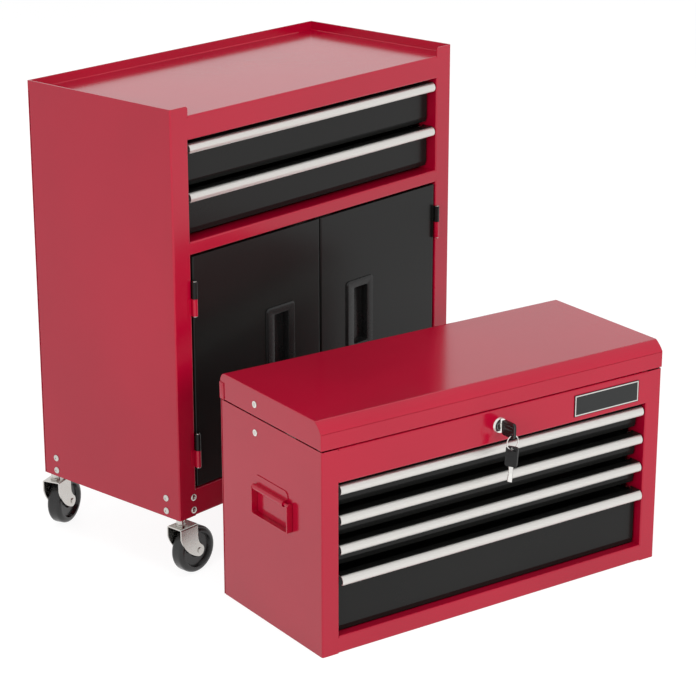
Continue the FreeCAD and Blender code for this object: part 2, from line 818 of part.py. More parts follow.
def caster_bracket(side, end):
    """A corner bracket inside the case: a plate with two upright flanges."""
    inner_x = trolley.inner_side
    inner_y = trolley.inner_back - dim.case_gauge if end > 0 else trolley.inner_back
    low = trolley.foot
    gauge = dim.bracket_gauge
    x_in = inner_x - dim.bracket_width
    y_in = inner_y - dim.bracket_length
    plate = box(mirrored(side, x_in, inner_x - FOLD_INSIDE), mirrored(end, y_in, inner_y - FOLD_INSIDE),
                (low, low + gauge))
    side_flange = box(mirrored(side, inner_x - gauge, inner_x), mirrored(end, y_in, inner_y - FOLD_INSIDE),
                      (low, low + dim.bracket_height))
    end_flange = box(mirrored(side, x_in, inner_x - FOLD_INSIDE), mirrored(end, inner_y - gauge, inner_y),
                     (low, low + dim.bracket_height))
    stem = rod("z", (side * stem_x, end * stem_y), dim.stem_diameter + dim.pin_play,
               (low - PAST, low + gauge + PAST))
    return cut(fuse(plate, side_flange, end_flange), stem,
               *bolt_holes(trolley, "x", side), *bolt_holes(trolley, "y", end))


stem_x = trolley.side - dim.stem_inset
stem_y = trolley.back - dim.stem_inset
corners = [(side, end) for end in (-1, 1) for side in (-1, 1)]
node("caster_brackets", *[caster_bracket(*corner) for corner in corners])


def bolt(axis, sign, middle):
    """A domed bolt with a dimple in its head."""
    height = dim.bolt_head_height
    edge_top = dim.bolt_edge
    reach = dim.case_gauge * 2 + dim.bracket_gauge + dim.bolt_end
    outside = dim.bolt_head - 2 * (height - edge_top)
    dome = (dim.bolt_head, outside) if sign > 0 else (outside, dim.bolt_head)
    head = rod(axis, middle, dome[0], bolt_span(trolley, axis, sign, edge_top, height), tip=dome[1])
    edge = rod(axis, middle, dim.bolt_head, bolt_span(trolley, axis, sign, 0, edge_top))
    shank = rod(axis, middle, dim.bolt_diameter, bolt_span(trolley, axis, sign, -reach, 0))
    dimple = rod(axis, middle, dim.bolt_dimple,
                 bolt_span(trolley, axis, sign, height - edge_top, height + PAST))
    return cut(fuse(head, edge, shank), dimple)


node("caster_bracket_bolts", *[bolt(*place) for place in bolt_places(trolley)])

fork_top = trolley.foot - dim.fork_drop
fork_bore = dim.stem_diameter + dim.pin_play
fork_half = dim.wheel_width / 2 + dim.wheel_side_play + dim.fork_gauge
wheel_radius = dim.wheel_diameter / 2
# Where a cheek's round tip ends, seen from the axle: off straight down, and off straight up
TIP_LEAD, TIP_TAIL = math.radians(19), math.radians(35)


def caster_stem(side, end):
    """A threaded stem: riveted head under the fork, washer and nuts above and below the bracket."""
    under = fork_top - dim.fork_gauge - dim.pin_play
    over = fork_top + dim.pin_play
    shank, rivet_edge, nut = dim.stem_diameter / 2, dim.stem_rivet / 2, dim.stem_nut / 2
    washer, upper_nut = dim.stem_washer / 2, dim.stem_upper_nut / 2
    washer_top = fork_top + dim.washer_height
    plate_top = trolley.foot + dim.bracket_gauge
    nut_top = plate_top + dim.upper_nut_height
    stem_top = plate_top + dim.stem_reach
    outline = [(0, under - dim.stem_rivet_height), (rivet_edge, under - dim.stem_rivet_height),
               (rivet_edge, under), (shank, under), (shank, over), (washer, over),
               (washer, washer_top), (nut, washer_top + dim.washer_slope), (nut, trolley.foot),
               (shank, trolley.foot), (shank, plate_top), (upper_nut, plate_top),
               (upper_nut, nut_top), (shank, nut_top), (shank, stem_top), (0, stem_top)]
    return turned(outline, "z", (side * stem_x, end * stem_y, 0))


node("caster_stems", *[caster_stem(*corner) for corner in corners])


def caster_fork():
    """A folded fork, with the stem at the origin and the wheel trailing along X, and its axle."""
    tail = dim.fork_length - dim.fork_lead
    tip = dim.fork_tip
    trail = dim.wheel_trail
    lead_end = (trail - tip * math.sin(TIP_LEAD), wheel_radius - tip * math.cos(TIP_LEAD))
    tail_end = (trail + tip * math.sin(TIP_TAIL), wheel_radius + tip * math.cos(TIP_TAIL))
    cheek = [(-dim.fork_lead, fork_top), (-dim.fork_lead, fork_top - dim.fork_lead_height), lead_end,
             tail_end, (tail, fork_top - dim.fork_tail_height), (tail, fork_top)]
    arcs = {1: (dim.fork_lead_curve, 1), 2: (tip, 1), 3: (dim.fork_tail_curve, -1)}
    outline = profile("XZ_Plane", cheek, (-fork_half - PAST, fork_half + PAST), arcs)
    foot = wheel_radius - tip - PAST
    path = [(-fork_half, foot), (-fork_half, fork_top), (fork_half, fork_top), (fork_half, foot)]
    channel = strip("YZ_Plane", path, (-dim.fork_lead - PAST, trail + tip + PAST), dim.fork_gauge, -1,
                    dim.fork_bend)
    centre = (trail, wheel_radius)
    bores = [rod("z", (0, 0), fork_bore, (fork_top - dim.fork_gauge - PAST, fork_top + PAST)),
             rod("y", centre, dim.axle_diameter, (-fork_half - PAST, fork_half + PAST))]
    axle = fuse(rod("y", centre, dim.axle_diameter, (-fork_half, fork_half)),
                *[rod("y", centre, dim.axle_head,
                      mirrored(sign, fork_half, fork_half + dim.axle_head_height)) for sign in (-1, 1)])
    return cut(shared(channel, outline), *bores), axle


def caster_wheel():
    """A wheel with a crowned tread, dished sides and a hub."""
    half = dim.wheel_width / 2
    bore = dim.axle_diameter / 2 + dim.pin_play / 2
    hub = dim.wheel_hub / 2
    web = half - dim.wheel_dish
    rim = wheel_radius - dim.wheel_tyre
    shoulder, slope = dim.wheel_shoulder, dim.dish_slope
    outline = [(-half, bore), (half, bore), (half, hub), (web, hub + slope), (web, rim - slope),
               (half, rim), (half, wheel_radius - shoulder), (half - shoulder, wheel_radius),
               (shoulder - half, wheel_radius), (-half, wheel_radius - shoulder), (-half, rim),
               (-web, rim - slope), (-web, hub + slope), (-half, hub)]
    arcs = {6: (shoulder, 1), 8: (shoulder, 1)}
    return turned(outline, "y", (dim.wheel_trail, 0, wheel_radius), arcs)


caster_names = {(-1, -1): ("front_left", dim.front_left_yaw), (1, -1): ("front_right", dim.front_right_yaw),
                (-1, 1): ("rear_left", dim.rear_left_yaw), (1, 1): ("rear_right", dim.rear_right_yaw)}
for (side, end), (name, yaw) in caster_names.items():
    place = frame_at(side * stem_x, end * stem_y, 0, yaw)
    node(f"caster_{name}_fork", *caster_fork(), frame=place)
    node(f"caster_{name}_wheel", caster_wheel(), frame=place)


# Top box, drawn round its own middle and then set in its place in front of the trolley

box_frame = frame_at(dim.box_x, dim.box_y, 0, dim.box_yaw)
chest = Case(dim.box_width, dim.box_depth, as_size(0), dim.box_rim, dim.box_post)
panel_foot = chest.top - dim.box_panel_height
lid_low = chest.top + dim.lid_gap
lid_top = lid_low + dim.lid_height
hinge_y = chest.back + dim.lid_hinge_knuckle / 2 + dim.knuckle_stand_off
hinge_z = chest.top + dim.lid_gap / 2
stay_foot = (dim.stay_body_y, chest.top - dim.stay_body_drop)
stay_head = (dim.stay_lid_y, chest.top + dim.stay_lid_rise)
stay_joint = (stay_foot[0] + stay_head[0] - hinge_y, stay_foot[1] + stay_head[1] - hinge_z)
rivet_hole = dim.rivet_diameter + dim.pin_play

for sign, name in ((-1, "box_side_left"), (1, "box_side_right")):
    hole = rod("x", stay_foot, rivet_hole, mirrored(sign, chest.inner_side - PAST, chest.side + PAST))
    node(name, cut(case_side(chest, sign, chest.top), hole), frame=box_frame)

node("box_back", case_back(chest), frame=box_frame)
node("box_floor", floor_with_rail(chest, dim.box_foot_rail, as_size(0)), frame=box_frame)

lock_z = chest.top - dim.lock_drop
panel_path = [(chest.front + dim.rail_return, chest.top), (chest.front, chest.top),
              (chest.front, panel_foot), (chest.front + dim.rail_return, panel_foot)]
lock_window = rod("y", (0, lock_z), dim.lock_barrel + dim.pin_play,
                  (chest.front - PAST, chest.front + dim.case_gauge + PAST))
node("box_front_panel",
     cut(strip("YZ_Plane", panel_path, (-chest.opening, chest.opening), dim.case_gauge, 1), lock_window),
     frame=box_frame)

till_low = panel_foot + dim.case_gauge
till_path = [(chest.inner_side, till_low + dim.till_flange), (chest.inner_side, till_low),
             (-chest.inner_side, till_low), (-chest.inner_side, till_low + dim.till_flange)]
till = fuse(strip("XZ_Plane", till_path, (chest.return_end, chest.corner_end),
                  dim.case_gauge, -1),
            box((-chest.opening, chest.opening),
                (chest.inner_front + FOLD_INSIDE, chest.return_end + PAST),
                (till_low, till_low + dim.case_gauge)))
node("box_till_floor", till, frame=box_frame)

box_tops = [panel_foot - dim.box_drawer_top - dim.box_drawer_pitch * step for step in range(4)]
box_lows = [top + dim.box_stack_gap for top in box_tops[1:]] + [dim.box_foot_rail + dim.box_foot_gap]
node("box_runners", *[runner(chest, sign, top) for top in box_tops for sign in (-1, 1)],
     frame=box_frame)
for number, (top, low) in enumerate(zip(box_tops, box_lows), start=1):
    shift = dim.box_open_drawer if number == 4 else 0
    node(f"box_drawer_{number}", drawer_pan(chest, low, top, shift), frame=box_frame)
    node(f"box_drawer_{number}_pull", drawer_pull(chest, top, shift), frame=box_frame)

plate_right = chest.side - dim.plate_from_right
plate_low = panel_foot + dim.plate_foot_rise
node("box_nameplate",
     box((plate_right - dim.plate_width, plate_right), (chest.front - dim.plate_thickness, chest.front),
         (plate_low, plate_low + dim.plate_height)), frame=box_frame)


# Lid

def lid_block(grow, low):
    """The lid's outer form, or its hollow where grow is negative."""
    half = chest.side + dim.lid_overhang + grow
    corners = [(chest.front - grow, low), (chest.back + grow, low), (chest.back + grow, lid_top + grow),
               (chest.front - grow, lid_top + grow)]
    rounds = {2: dim.lid_corner + grow, 3: dim.lid_corner + grow}
    return profile("YZ_Plane", corners, (-half, half), rounds=rounds)


lid_inside = chest.side + dim.lid_overhang - dim.case_gauge
lid_outer = chest.side + dim.lid_overhang
front_rim = box((-lid_inside, lid_inside), (chest.inner_front, chest.inner_front + dim.lid_rim),
                (lid_low, lid_low + dim.case_gauge))
hollow = lid_block(-dim.case_gauge, lid_low - PAST)
lid_shell = fuse(cut(lid_block(as_size(0), lid_low), hollow), front_rim)
lid_holes = [rod("x", stay_head, rivet_hole, mirrored(sign, lid_inside - PAST, lid_outer + PAST))
             for sign in (-1, 1)]
lid = cut(lid_shell, *lid_holes)

KNUCKLES = 11
knuckle_pitch = dim.lid_hinge_length / KNUCKLES


def lid_leaf(first, low, high, tab):
    """A leaf of the lid's long hinge, with every second knuckle."""
    half = dim.lid_hinge_length / 2
    gauge = dim.leaf_gauge
    plate = box((-half, half), (chest.back, chest.back + gauge), (low, high))
    pieces = [plate]
    for number in range(first, KNUCKLES, 2):
        span = (knuckle_pitch * number - half + dim.knuckle_gap / 2,
                knuckle_pitch * (number + 1) - half - dim.knuckle_gap / 2)
        pieces.append(rod("x", (hinge_y, hinge_z), dim.lid_hinge_knuckle, span))
        pieces.append(box(span, (chest.back, chest.back + gauge), tab))
    bore = rod("x", (hinge_y, hinge_z), dim.lid_hinge_pin + dim.pin_play, (-half - PAST, half + PAST))
    return cut(fuse(*pieces), bore)


leaf_clear = dim.lid_hinge_knuckle / 2 + dim.leaf_clearance
lower_leaf = lid_leaf(0, hinge_z - leaf_clear - dim.lid_hinge_leaf, hinge_z - leaf_clear,
                      (hinge_z - leaf_clear, hinge_z))
upper_leaf = lid_leaf(1, hinge_z + leaf_clear, hinge_z + leaf_clear + dim.lid_hinge_leaf,
                      (hinge_z, hinge_z + leaf_clear))
pin_half = dim.lid_hinge_length / 2
lid_pin = rod("x", (hinge_y, hinge_z), dim.lid_hinge_pin, (-pin_half, pin_half))
node("lid_hinge_lower_leaf", lower_leaf, lid_pin, frame=box_frame)
node("lid_hinge_upper_leaf", upper_leaf, frame=box_frame)


# Lid stays: two pairs of links, each pair with the rivets that it turns on

def link(first, last, inner, sign):
    """A flat link between two pivots in the plane of a side."""
    span = mirrored(sign, inner, inner + dim.stay_gauge)
    ends = [rod("x", place, dim.stay_width, span) for place in (first, last)]
    run = doc.addObject("Part::Box", "Block")
    half = dim.stay_width / 2
    rise, reach = last[1] - first[1], last[0] - first[0]
    run.setExpression("Length", dim.stay_gauge.text)
    run.setExpression("Width", f"sqrt(({reach.text})^2 + ({rise.text})^2)")
    run.setExpression("Height", dim.stay_width.text)
    turn = f"atan2({rise.text}; {reach.text})"
    shift = (-half).text
    run.setExpression("Placement", f"placement(vector({as_size(span[0]).text}; {first[0].text}; "
                                   f"{first[1].text}); rotation(vector(1; 0; 0); {turn})) * "
                                   f"placement(vector(0; 0; {shift}); rotation(vector(1; 0; 0); 0))")
    return fuse(run, *ends)


def rivet(place, sign, inner, outer):
    """A rivet between two planes, with a round head outside and a flat one inside."""
    shank = rod("x", place, dim.rivet_diameter, mirrored(sign, inner, outer))
    tail = rod("x", place, dim.rivet_tail, mirrored(sign, inner - dim.rivet_tail_height, inner))
    return fuse(shank, tail)


def domed_head(place, sign, face):
    """A rivet's round head on an outer face."""
    high = dim.rivet_head_height
    ends = (dim.rivet_head, dim.rivet_crown) if sign > 0 else (dim.rivet_crown, dim.rivet_head)
    return rod("x", place, ends[0], mirrored(sign, face, face + high), tip=ends[1])


low_inner = chest.inner_side - dim.stay_gap - dim.stay_gauge
high_inner = low_inner - dim.stay_gap - dim.stay_gauge
lower_links = []
upper_links = []
for sign in (-1, 1):
    bar = link(stay_foot, stay_joint, low_inner, sign)
    foot_rivet = rivet(stay_foot, sign, low_inner, chest.side)
    joint_rivet = rivet(stay_joint, sign, high_inner - dim.stay_gap, low_inner + dim.stay_gauge)
    lower_links.append(fuse(bar, foot_rivet, domed_head(stay_foot, sign, chest.side), joint_rivet))
    bar = link(stay_head, stay_joint, high_inner, sign)
    head_rivet = rivet(stay_head, sign, high_inner, lid_outer)
    spacer = rod("x", stay_head, dim.stay_spacer,
                 mirrored(sign, high_inner + dim.stay_gauge, lid_inside - dim.pin_play))
    play = rod("x", stay_joint, dim.stay_joint_hole,
               mirrored(sign, high_inner - PAST, high_inner + dim.stay_gauge + PAST))
    upper_links.append(fuse(cut(bar, play), head_rivet, spacer, domed_head(stay_head, sign, lid_outer)))
node("lid_stay_lower_links", *lower_links, frame=box_frame)
node("lid_stay_upper_links", *upper_links, frame=box_frame)


# Lock

lock_front = chest.front - dim.lock_rim_height
lock_rear = chest.front + dim.lock_length
barrel_bore = dim.lock_plug + dim.pin_play
lock_shell = fuse(
    rod("y", (0, lock_z), dim.lock_barrel, (chest.front, lock_rear)),
    rod("y", (0, lock_z), dim.lock_face, (lock_front, chest.front), tip=dim.lock_rim),
    rod("y", (0, lock_z), dim.lock_nut, (chest.inner_front, chest.inner_front + dim.lock_nut_height)))
plug_bore = rod("y", (0, lock_z), barrel_bore, (lock_front - PAST, lock_rear + PAST))
node("lock_body", cut(lock_shell, plug_bore), frame=box_frame)

slot_half = dim.key_gauge / 2 + dim.pin_play
key_low = lock_z - dim.key_blade / 2
key_slot = box((-slot_half, slot_half), (lock_front - PAST, lock_rear - dim.key_end_gap / 2),
               (key_low - dim.pin_play, key_low + dim.key_blade + dim.pin_play))
cam_front = lock_rear + dim.cam_gap
cam = fuse(box((-dim.cam_width / 2, dim.cam_width / 2), (cam_front, cam_front + dim.cam_gauge),
               (lock_z, lock_z + dim.cam_length - dim.cam_width / 2)),
           rod("y", (0, lock_z + dim.cam_length - dim.cam_width / 2), dim.cam_width,
               (cam_front, cam_front + dim.cam_gauge)),
           rod("y", (0, lock_z), dim.cam_boss, (cam_front, cam_front + dim.cam_gauge)))
plug = cut(rod("y", (0, lock_z), dim.lock_plug, (lock_front, cam_front)), key_slot)
node("lock_plug", fuse(plug, cam), frame=box_frame)

hook_front = cam_front - 2 * dim.hook_clearance
hook_back = cam_front + dim.cam_gauge + dim.hook_clearance
hook_low = lock_z - dim.cam_width / 2 - dim.hook_drop - dim.case_gauge
hook_span = (dim.hook_from_middle, dim.hook_from_middle + dim.hook_width)
hook = fuse(box(hook_span, (chest.inner_front, hook_back + dim.case_gauge),
                (lid_low + dim.case_gauge, lid_low + 2 * dim.case_gauge)),
            box(hook_span, (hook_back, hook_back + dim.case_gauge),
                (hook_low, lid_low + 2 * dim.case_gauge)),
            box(hook_span, (hook_front, hook_back + dim.case_gauge),
                (hook_low, hook_low + dim.case_gauge)))
node("box_lid", lid, hook, frame=box_frame)


bow_back = lock_front - dim.key_shoulder
bow_front = bow_back - dim.key_bow_length
bow_low = lock_z - dim.key_bow_height / 2
bow_high = lock_z + dim.key_bow_height / 2
key_half = dim.key_gauge / 2
bow = profile("YZ_Plane",
              [(bow_front, bow_low), (bow_back, bow_low), (bow_back, bow_high), (bow_front, bow_high)],
              (-key_half, key_half), rounds={0: dim.key_bow_round, 1: dim.key_bow_corner,
                                             2: dim.key_bow_corner, 3: dim.key_bow_round})
ring_y = bow_front + dim.key_hole
ring_top = bow_low + dim.key_hole
key_eye = rod("x", (ring_y, ring_top), dim.key_hole, (-LONG, LONG))
blade = box((-key_half, key_half), (bow_back - PAST, lock_rear - dim.key_end_gap),
            (key_low, key_low + dim.key_blade))
node("lock_key", cut(fuse(bow, blade), key_eye), frame=box_frame)


wire_ring = doc.addObject("Part::Torus", "Ring")
wire_ring.Placement = FreeCAD.Placement(Vector(), FreeCAD.Rotation(Vector(1, 0, 0), 90))
wire_ring.setExpression("Radius1", (dim.key_ring / 2).text)
wire_ring.setExpression("Radius2", (dim.ring_wire / 2).text)
wire_ring.setExpression("Placement.Base.y", ring_y.text)
wire_ring.setExpression("Placement.Base.z", (ring_top - dim.ring_sag - dim.key_ring / 2).text)
node("key_ring", wire_ring, frame=box_frame)


# Drop handles

bail_cap = 2 * (dim.handle_axis_off - dim.bail_wall_gap)


def handle_bracket(sign):
    """A plate on the side with a rolled barrel along its lower edge."""
    axis_x = chest.side + dim.handle_axis_off
    half = dim.handle_plate_width / 2
    low, high = dim.handle_axis_z, dim.handle_axis_z + dim.handle_plate_height
    ends = (dim.handle_plate_y - half, dim.handle_plate_y + half)
    plate = profile("YZ_Plane", [(ends[0], low), (ends[1], low), (ends[1], high), (ends[0], high)],
                    mirrored(sign, chest.side, chest.side + dim.leaf_gauge),
                    rounds={2: dim.handle_plate_corner, 3: dim.handle_plate_corner})
    barrel_half = dim.handle_barrel_length / 2
    span = (dim.handle_barrel_y - barrel_half, dim.handle_barrel_y + barrel_half)
    middle = (sign * axis_x, low)
    barrel = rod("y", middle, dim.handle_barrel, span)
    web = box(mirrored(sign, chest.side, axis_x), span,
              (low + dim.barrel_web_rise, low + dim.handle_barrel / 2))
    bore = rod("y", middle, dim.handle_pin + dim.pin_play, (-LONG, LONG))
    notches = [box(mirrored(sign, chest.side, axis_x), notch, (low - PAST, low + bail_cap / 2 + PAST))
               for notch in ((ends[0], span[0]), (span[1], ends[1]))]
    return cut(fuse(cut(plate, *notches), web, barrel), bore)


def bail(sign):
    """A flat strip bent into a loop, hanging from two pins in the barrel."""
    axis = (sign * (chest.side + dim.handle_axis_off), dim.handle_axis_z)
    inner = chest.side + dim.bail_wall_gap
    span = mirrored(sign, inner, inner + dim.bail_strip)
    half = dim.bail_width / 2
    near_y, far_y = dim.bail_y - half, dim.bail_y + half
    path = [(near_y, dim.handle_axis_z), (near_y, dim.bail_foot_z), (far_y, dim.bail_foot_z),
            (far_y, dim.handle_axis_z)]
    loop = strip("YZ_Plane", path, span, dim.bail_gauge, 1, dim.bail_corner)
    ends = []
    for y, pin_y in ((near_y, near_y), (far_y - dim.bail_gauge, far_y - dim.handle_pin_length)):
        ends.append(rod("y", axis, bail_cap, (y, y + dim.bail_gauge)))
        ends.append(rod("y", axis, dim.handle_pin, (pin_y, pin_y + dim.handle_pin_length)))
    return fuse(loop, *ends)


node("handle_brackets", *[handle_bracket(sign) for sign in (-1, 1)], frame=box_frame)
for sign, name in ((-1, "left"), (1, "right")):
    node(f"handle_bail_{name}", bail(sign), frame=box_frame)


# Check and write

doc.recompute()
for piece in doc.Objects:
    if "Invalid" in piece.State or "Error" in piece.State:
        raise RuntimeError(f"{piece.Name} failed: {piece.State}")
os.makedirs("parts", exist_ok=True)
for piece in nodes:
    shape = piece.Shape
    if shape.isNull() or not shape.isValid() or not shape.Solids:
        raise RuntimeError(f"{piece.Label} has no valid solid")
    print(piece.Label, len(shape.Solids), round(shape.Volume))
    shape.exportStep(f"parts/{piece.Label}.step")
print(len(nodes), "nodes")
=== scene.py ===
"""The looks of a steel tool trolley and of the top box that stands in front of it.

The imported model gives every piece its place. This script gives each piece its finish, models the
lid, keys, pulls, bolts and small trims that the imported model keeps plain, and sets up the studio.
Distances are in metres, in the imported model's frame: X to the trolley's right, Y to its back.
"""
import json
import logging
import math
from collections.abc import Callable, Iterable
from dataclasses import dataclass, field, replace
from enum import Enum, IntEnum, StrEnum

import bmesh
import bpy
from mathutils import Euler, Matrix, Vector


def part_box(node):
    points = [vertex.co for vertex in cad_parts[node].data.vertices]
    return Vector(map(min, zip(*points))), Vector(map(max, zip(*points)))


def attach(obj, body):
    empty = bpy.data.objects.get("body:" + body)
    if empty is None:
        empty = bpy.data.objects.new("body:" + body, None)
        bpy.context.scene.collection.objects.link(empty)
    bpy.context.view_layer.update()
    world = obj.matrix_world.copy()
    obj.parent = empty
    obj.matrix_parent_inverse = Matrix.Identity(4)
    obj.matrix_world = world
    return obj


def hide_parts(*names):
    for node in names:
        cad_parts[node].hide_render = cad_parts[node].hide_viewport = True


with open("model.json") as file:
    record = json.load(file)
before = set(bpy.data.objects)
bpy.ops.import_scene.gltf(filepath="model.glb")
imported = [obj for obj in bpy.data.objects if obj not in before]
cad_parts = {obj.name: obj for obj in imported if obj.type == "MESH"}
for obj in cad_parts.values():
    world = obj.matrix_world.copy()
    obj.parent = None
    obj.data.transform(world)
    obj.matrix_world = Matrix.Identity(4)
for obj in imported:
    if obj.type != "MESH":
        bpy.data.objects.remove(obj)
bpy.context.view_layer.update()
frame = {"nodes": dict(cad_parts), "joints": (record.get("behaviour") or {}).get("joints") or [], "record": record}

log = logging.getLogger("trolley")

Color = tuple[float, float, float]
Corners = tuple[Vector, Vector]
EdgeTest = Callable[[bmesh.types.BMEdge], bool]
FaceTest = Callable[[bmesh.types.BMFace], bool]

MM = 0.001
WHITE: Color = (1.0, 1.0, 1.0)
# The bend radius of the cabinets' sheet.
FOLD = 2.5 * MM
# How far a point may lie off a line or plane that it counts as on.
TOUCH = 0.1 * MM
# How far a block that cuts reaches past the piece, and how many thicknesses long a round one is.
PAST = 1 * MM
THROUGH = 4
# The least cosine of the angle between two directions that count as one, and the most for a side.
ALIGNED = 0.999
ASIDE = 0.5
# Edges sharper than the first angle are rounded, and those sharper than the second shaded sharp.
BEVEL_ANGLE = math.radians(35)
SMOOTH_ANGLE = math.radians(32)
# How many rays the shader sends out to round an edge.
EDGE_SAMPLES = 6
# How strongly a large face outweighs a small one in the shading of a corner.
FACE_WEIGHT = 100


class Slot(StrEnum):
    """The record's material slots."""

    RED_PAINT = "red_paint"
    BLACK_PAINT = "black_paint"
    PLATED_PULL = "plated_pull"
    ZINC = "zinc"
    BLACK_PLASTIC = "black_plastic"
    WHEEL_PLASTIC = "wheel_plastic"
    CHROME = "chrome"
    NAMEPLATE = "nameplate"


class Side(StrEnum):
    """The left or the right, as names of pieces have it."""

    LEFT = "left"
    RIGHT = "right"

    @property
    def sign(self) -> int:
        """Which way the side lies along X."""
        return -1 if self is Side.LEFT else 1


class Way(IntEnum):
    """A coordinate axis, by its index."""

    X = 0
    Y = 1
    Z = 2


class Part(Enum):
    """What a selection in edit mode is made of."""

    FACE = "FACE"
    EDGE = "EDGE"


class Change(Enum):
    """What a tool does to a piece."""

    UNITE = "UNION"
    CUT = "DIFFERENCE"


def opaque(color: Color) -> tuple[float, float, float, float]:
    """A colour as a socket takes it."""
    return (*color, 1.0)


def tinted(color: Color, share: float) -> Color:
    """A colour with each of its parts multiplied by a share."""
    return tuple(part * share for part in color)


class Wire:
    """A value in a material's graph. Python's operators on it add Math nodes."""

    def __init__(self, graph: "Graph", source: bpy.types.NodeSocket) -> None:
        """Keeps the graph and the socket that the value comes from."""
        self.graph = graph
        self.source = source

    def _math(self, operation: str, other: "Wire | float") -> "Wire":
        """The result of one Math node on this value and another."""
        node = self.graph.add("ShaderNodeMath", {"operation": operation}, {0: self, 1: other})
        return self.graph.wire(node)

    def __add__(self, other: "Wire | float") -> "Wire":
        """The sum."""
        return self._math("ADD", other)

    __radd__ = __add__

    def __mul__(self, other: "Wire | float") -> "Wire":
        """The product."""
        return self._math("MULTIPLY", other)

    __rmul__ = __mul__

    def larger(self, other: "Wire | float") -> "Wire":
        """The larger of two values."""
        return self._math("MAXIMUM", other)


class Graph:
    """The node tree of one material or of the world."""

    MIX_COLORS = (6, 7)
    MIX_RESULT = 2

    def __init__(self, tree: bpy.types.NodeTree) -> None:
        """Empties the tree."""
        self.tree = tree
        self.tree.nodes.clear()

    def add(self, kind: str, settings: dict[str, object] | None = None,
            values: dict[int | str, object] | None = None) -> bpy.types.Node:
        """Adds a node.

        Args:
            kind: The node's type.
            settings: Its own settings, set first; "stops" gives a ramp its places and greys.
            values: A number, colour or wire for each named or numbered socket.

        Returns:
            The new node.
        """
        node = self.tree.nodes.new(kind)
        for name, value in (settings or {}).items():
            if name == "stops":
                for element, (place, grey) in zip(node.color_ramp.elements, value):
                    element.position = place
                    element.color = opaque((grey, grey, grey))
            else:
                setattr(node, name, value)
        for socket, value in (values or {}).items():
            if isinstance(value, Wire):
                self.tree.links.new(value.source, node.inputs[socket])
            else:
                node.inputs[socket].default_value = value
        return node

    def wire(self, node: bpy.types.Node, output: int | str = 0) -> Wire:
        """One of a node's outputs."""
        return Wire(self, node.outputs[output])

    def place(self, turn: float, stretch: tuple[float, float, float] = (1.0, 1.0, 1.0)) -> Wire:
        """The point on the piece, turned and then stretched.

        Args:
            turn: The turn about Z, in radians.
            stretch: The factor along each axis.

        Returns:
            The wire of its coordinates.
        """
        coordinates = self.add("ShaderNodeTexCoord")
        turned = self.add("ShaderNodeMapping", {}, {
            "Vector": self.wire(coordinates, "Object"), "Rotation": (0.0, 0.0, turn)})
        scaled = self.add("ShaderNodeMapping", {}, {
            "Vector": self.wire(turned), "Scale": stretch})
        return self.wire(scaled)

    def noise(self, point: Wire, scale: float, detail: float) -> Wire:
        """Noise between 0 and 1."""
        values = {"Vector": point, "Scale": scale, "Detail": detail}
        return self.wire(self.add("ShaderNodeTexNoise", {}, values))

    def ramp(self, value: Wire, stops: tuple[tuple[float, float], tuple[float, float]]) -> Wire:
        """The value sent through a ramp between two greys."""
        return self.wire(self.add("ShaderNodeValToRGB", {"stops": stops}, {0: value}))

    def mix(self, share: Wire, first: Color, second: Color) -> Wire:
        """A colour between two.

        Args:
            share: How much of the second there is.
            first: The colour at a share of 0.
            second: The colour at a share of 1.

        Returns:
            The wire of the colour.
        """
        low, high = self.MIX_COLORS
        node = self.add("ShaderNodeMix", {"data_type": "RGBA"},
                        {0: share, low: opaque(first), high: opaque(second)})
        return self.wire(node, self.MIX_RESULT)

    def normal(self, height: Wire | None, depth: float, edge: float) -> Wire:
        """The surface's normal, with its edges rounded and a relief on it.

        Args:
            height: The relief, from 0 to 1, or none.
            depth: What a relief of 1 measures.
            edge: The radius of the rounded edges.

        Returns:
            The wire for a Normal socket.
        """
        bevel = self.add("ShaderNodeBevel", {"samples": EDGE_SAMPLES}, {"Radius": edge})
        rounded = self.wire(bevel)
        if height is None:
            return rounded
        bump = self.add("ShaderNodeBump", {}, {
            "Strength": 1.0, "Distance": depth, "Height": height, "Normal": rounded})
        return self.wire(bump)


@dataclass(frozen=True)
class Finish:
    """What every finish has: a colour, a gloss, the radius of its edges and its pattern's turn."""

    slot: Slot
    color: Color
    roughness: float
    edge: float = 0.3 * MM
    specular: float = 0.5
    ior: float = 1.5
    turn: float = 0.0

    def build(self) -> bpy.types.Material:
        """Makes the material.

        Returns:
            The new material.
        """
        material = bpy.data.materials.new(f"{self.slot.value}_{round(math.degrees(self.turn))}")
        material.use_nodes = True
        graph = Graph(material.node_tree)
        shader = graph.add("ShaderNodeBsdfPrincipled", {}, {
            "Base Color": opaque(self.color), "Roughness": self.roughness, "IOR": self.ior,
            "Specular IOR Level": self.specular, **self.dress(graph)})
        graph.add("ShaderNodeOutputMaterial", {}, {"Surface": graph.wire(shader)})
        material.diffuse_color = opaque(self.color)
        return material

    def uneven(self, wave: Wire, swing: float) -> Wire:
        """The roughness, swung about its mean by a wave between 0 and 1."""
        return wave * swing + (self.roughness - swing / 2)

    def dress(self, graph: Graph) -> dict[str, object]:
        """What the finish sets on the shader's sockets."""
        return {"Normal": graph.normal(None, 0.0, self.edge)}


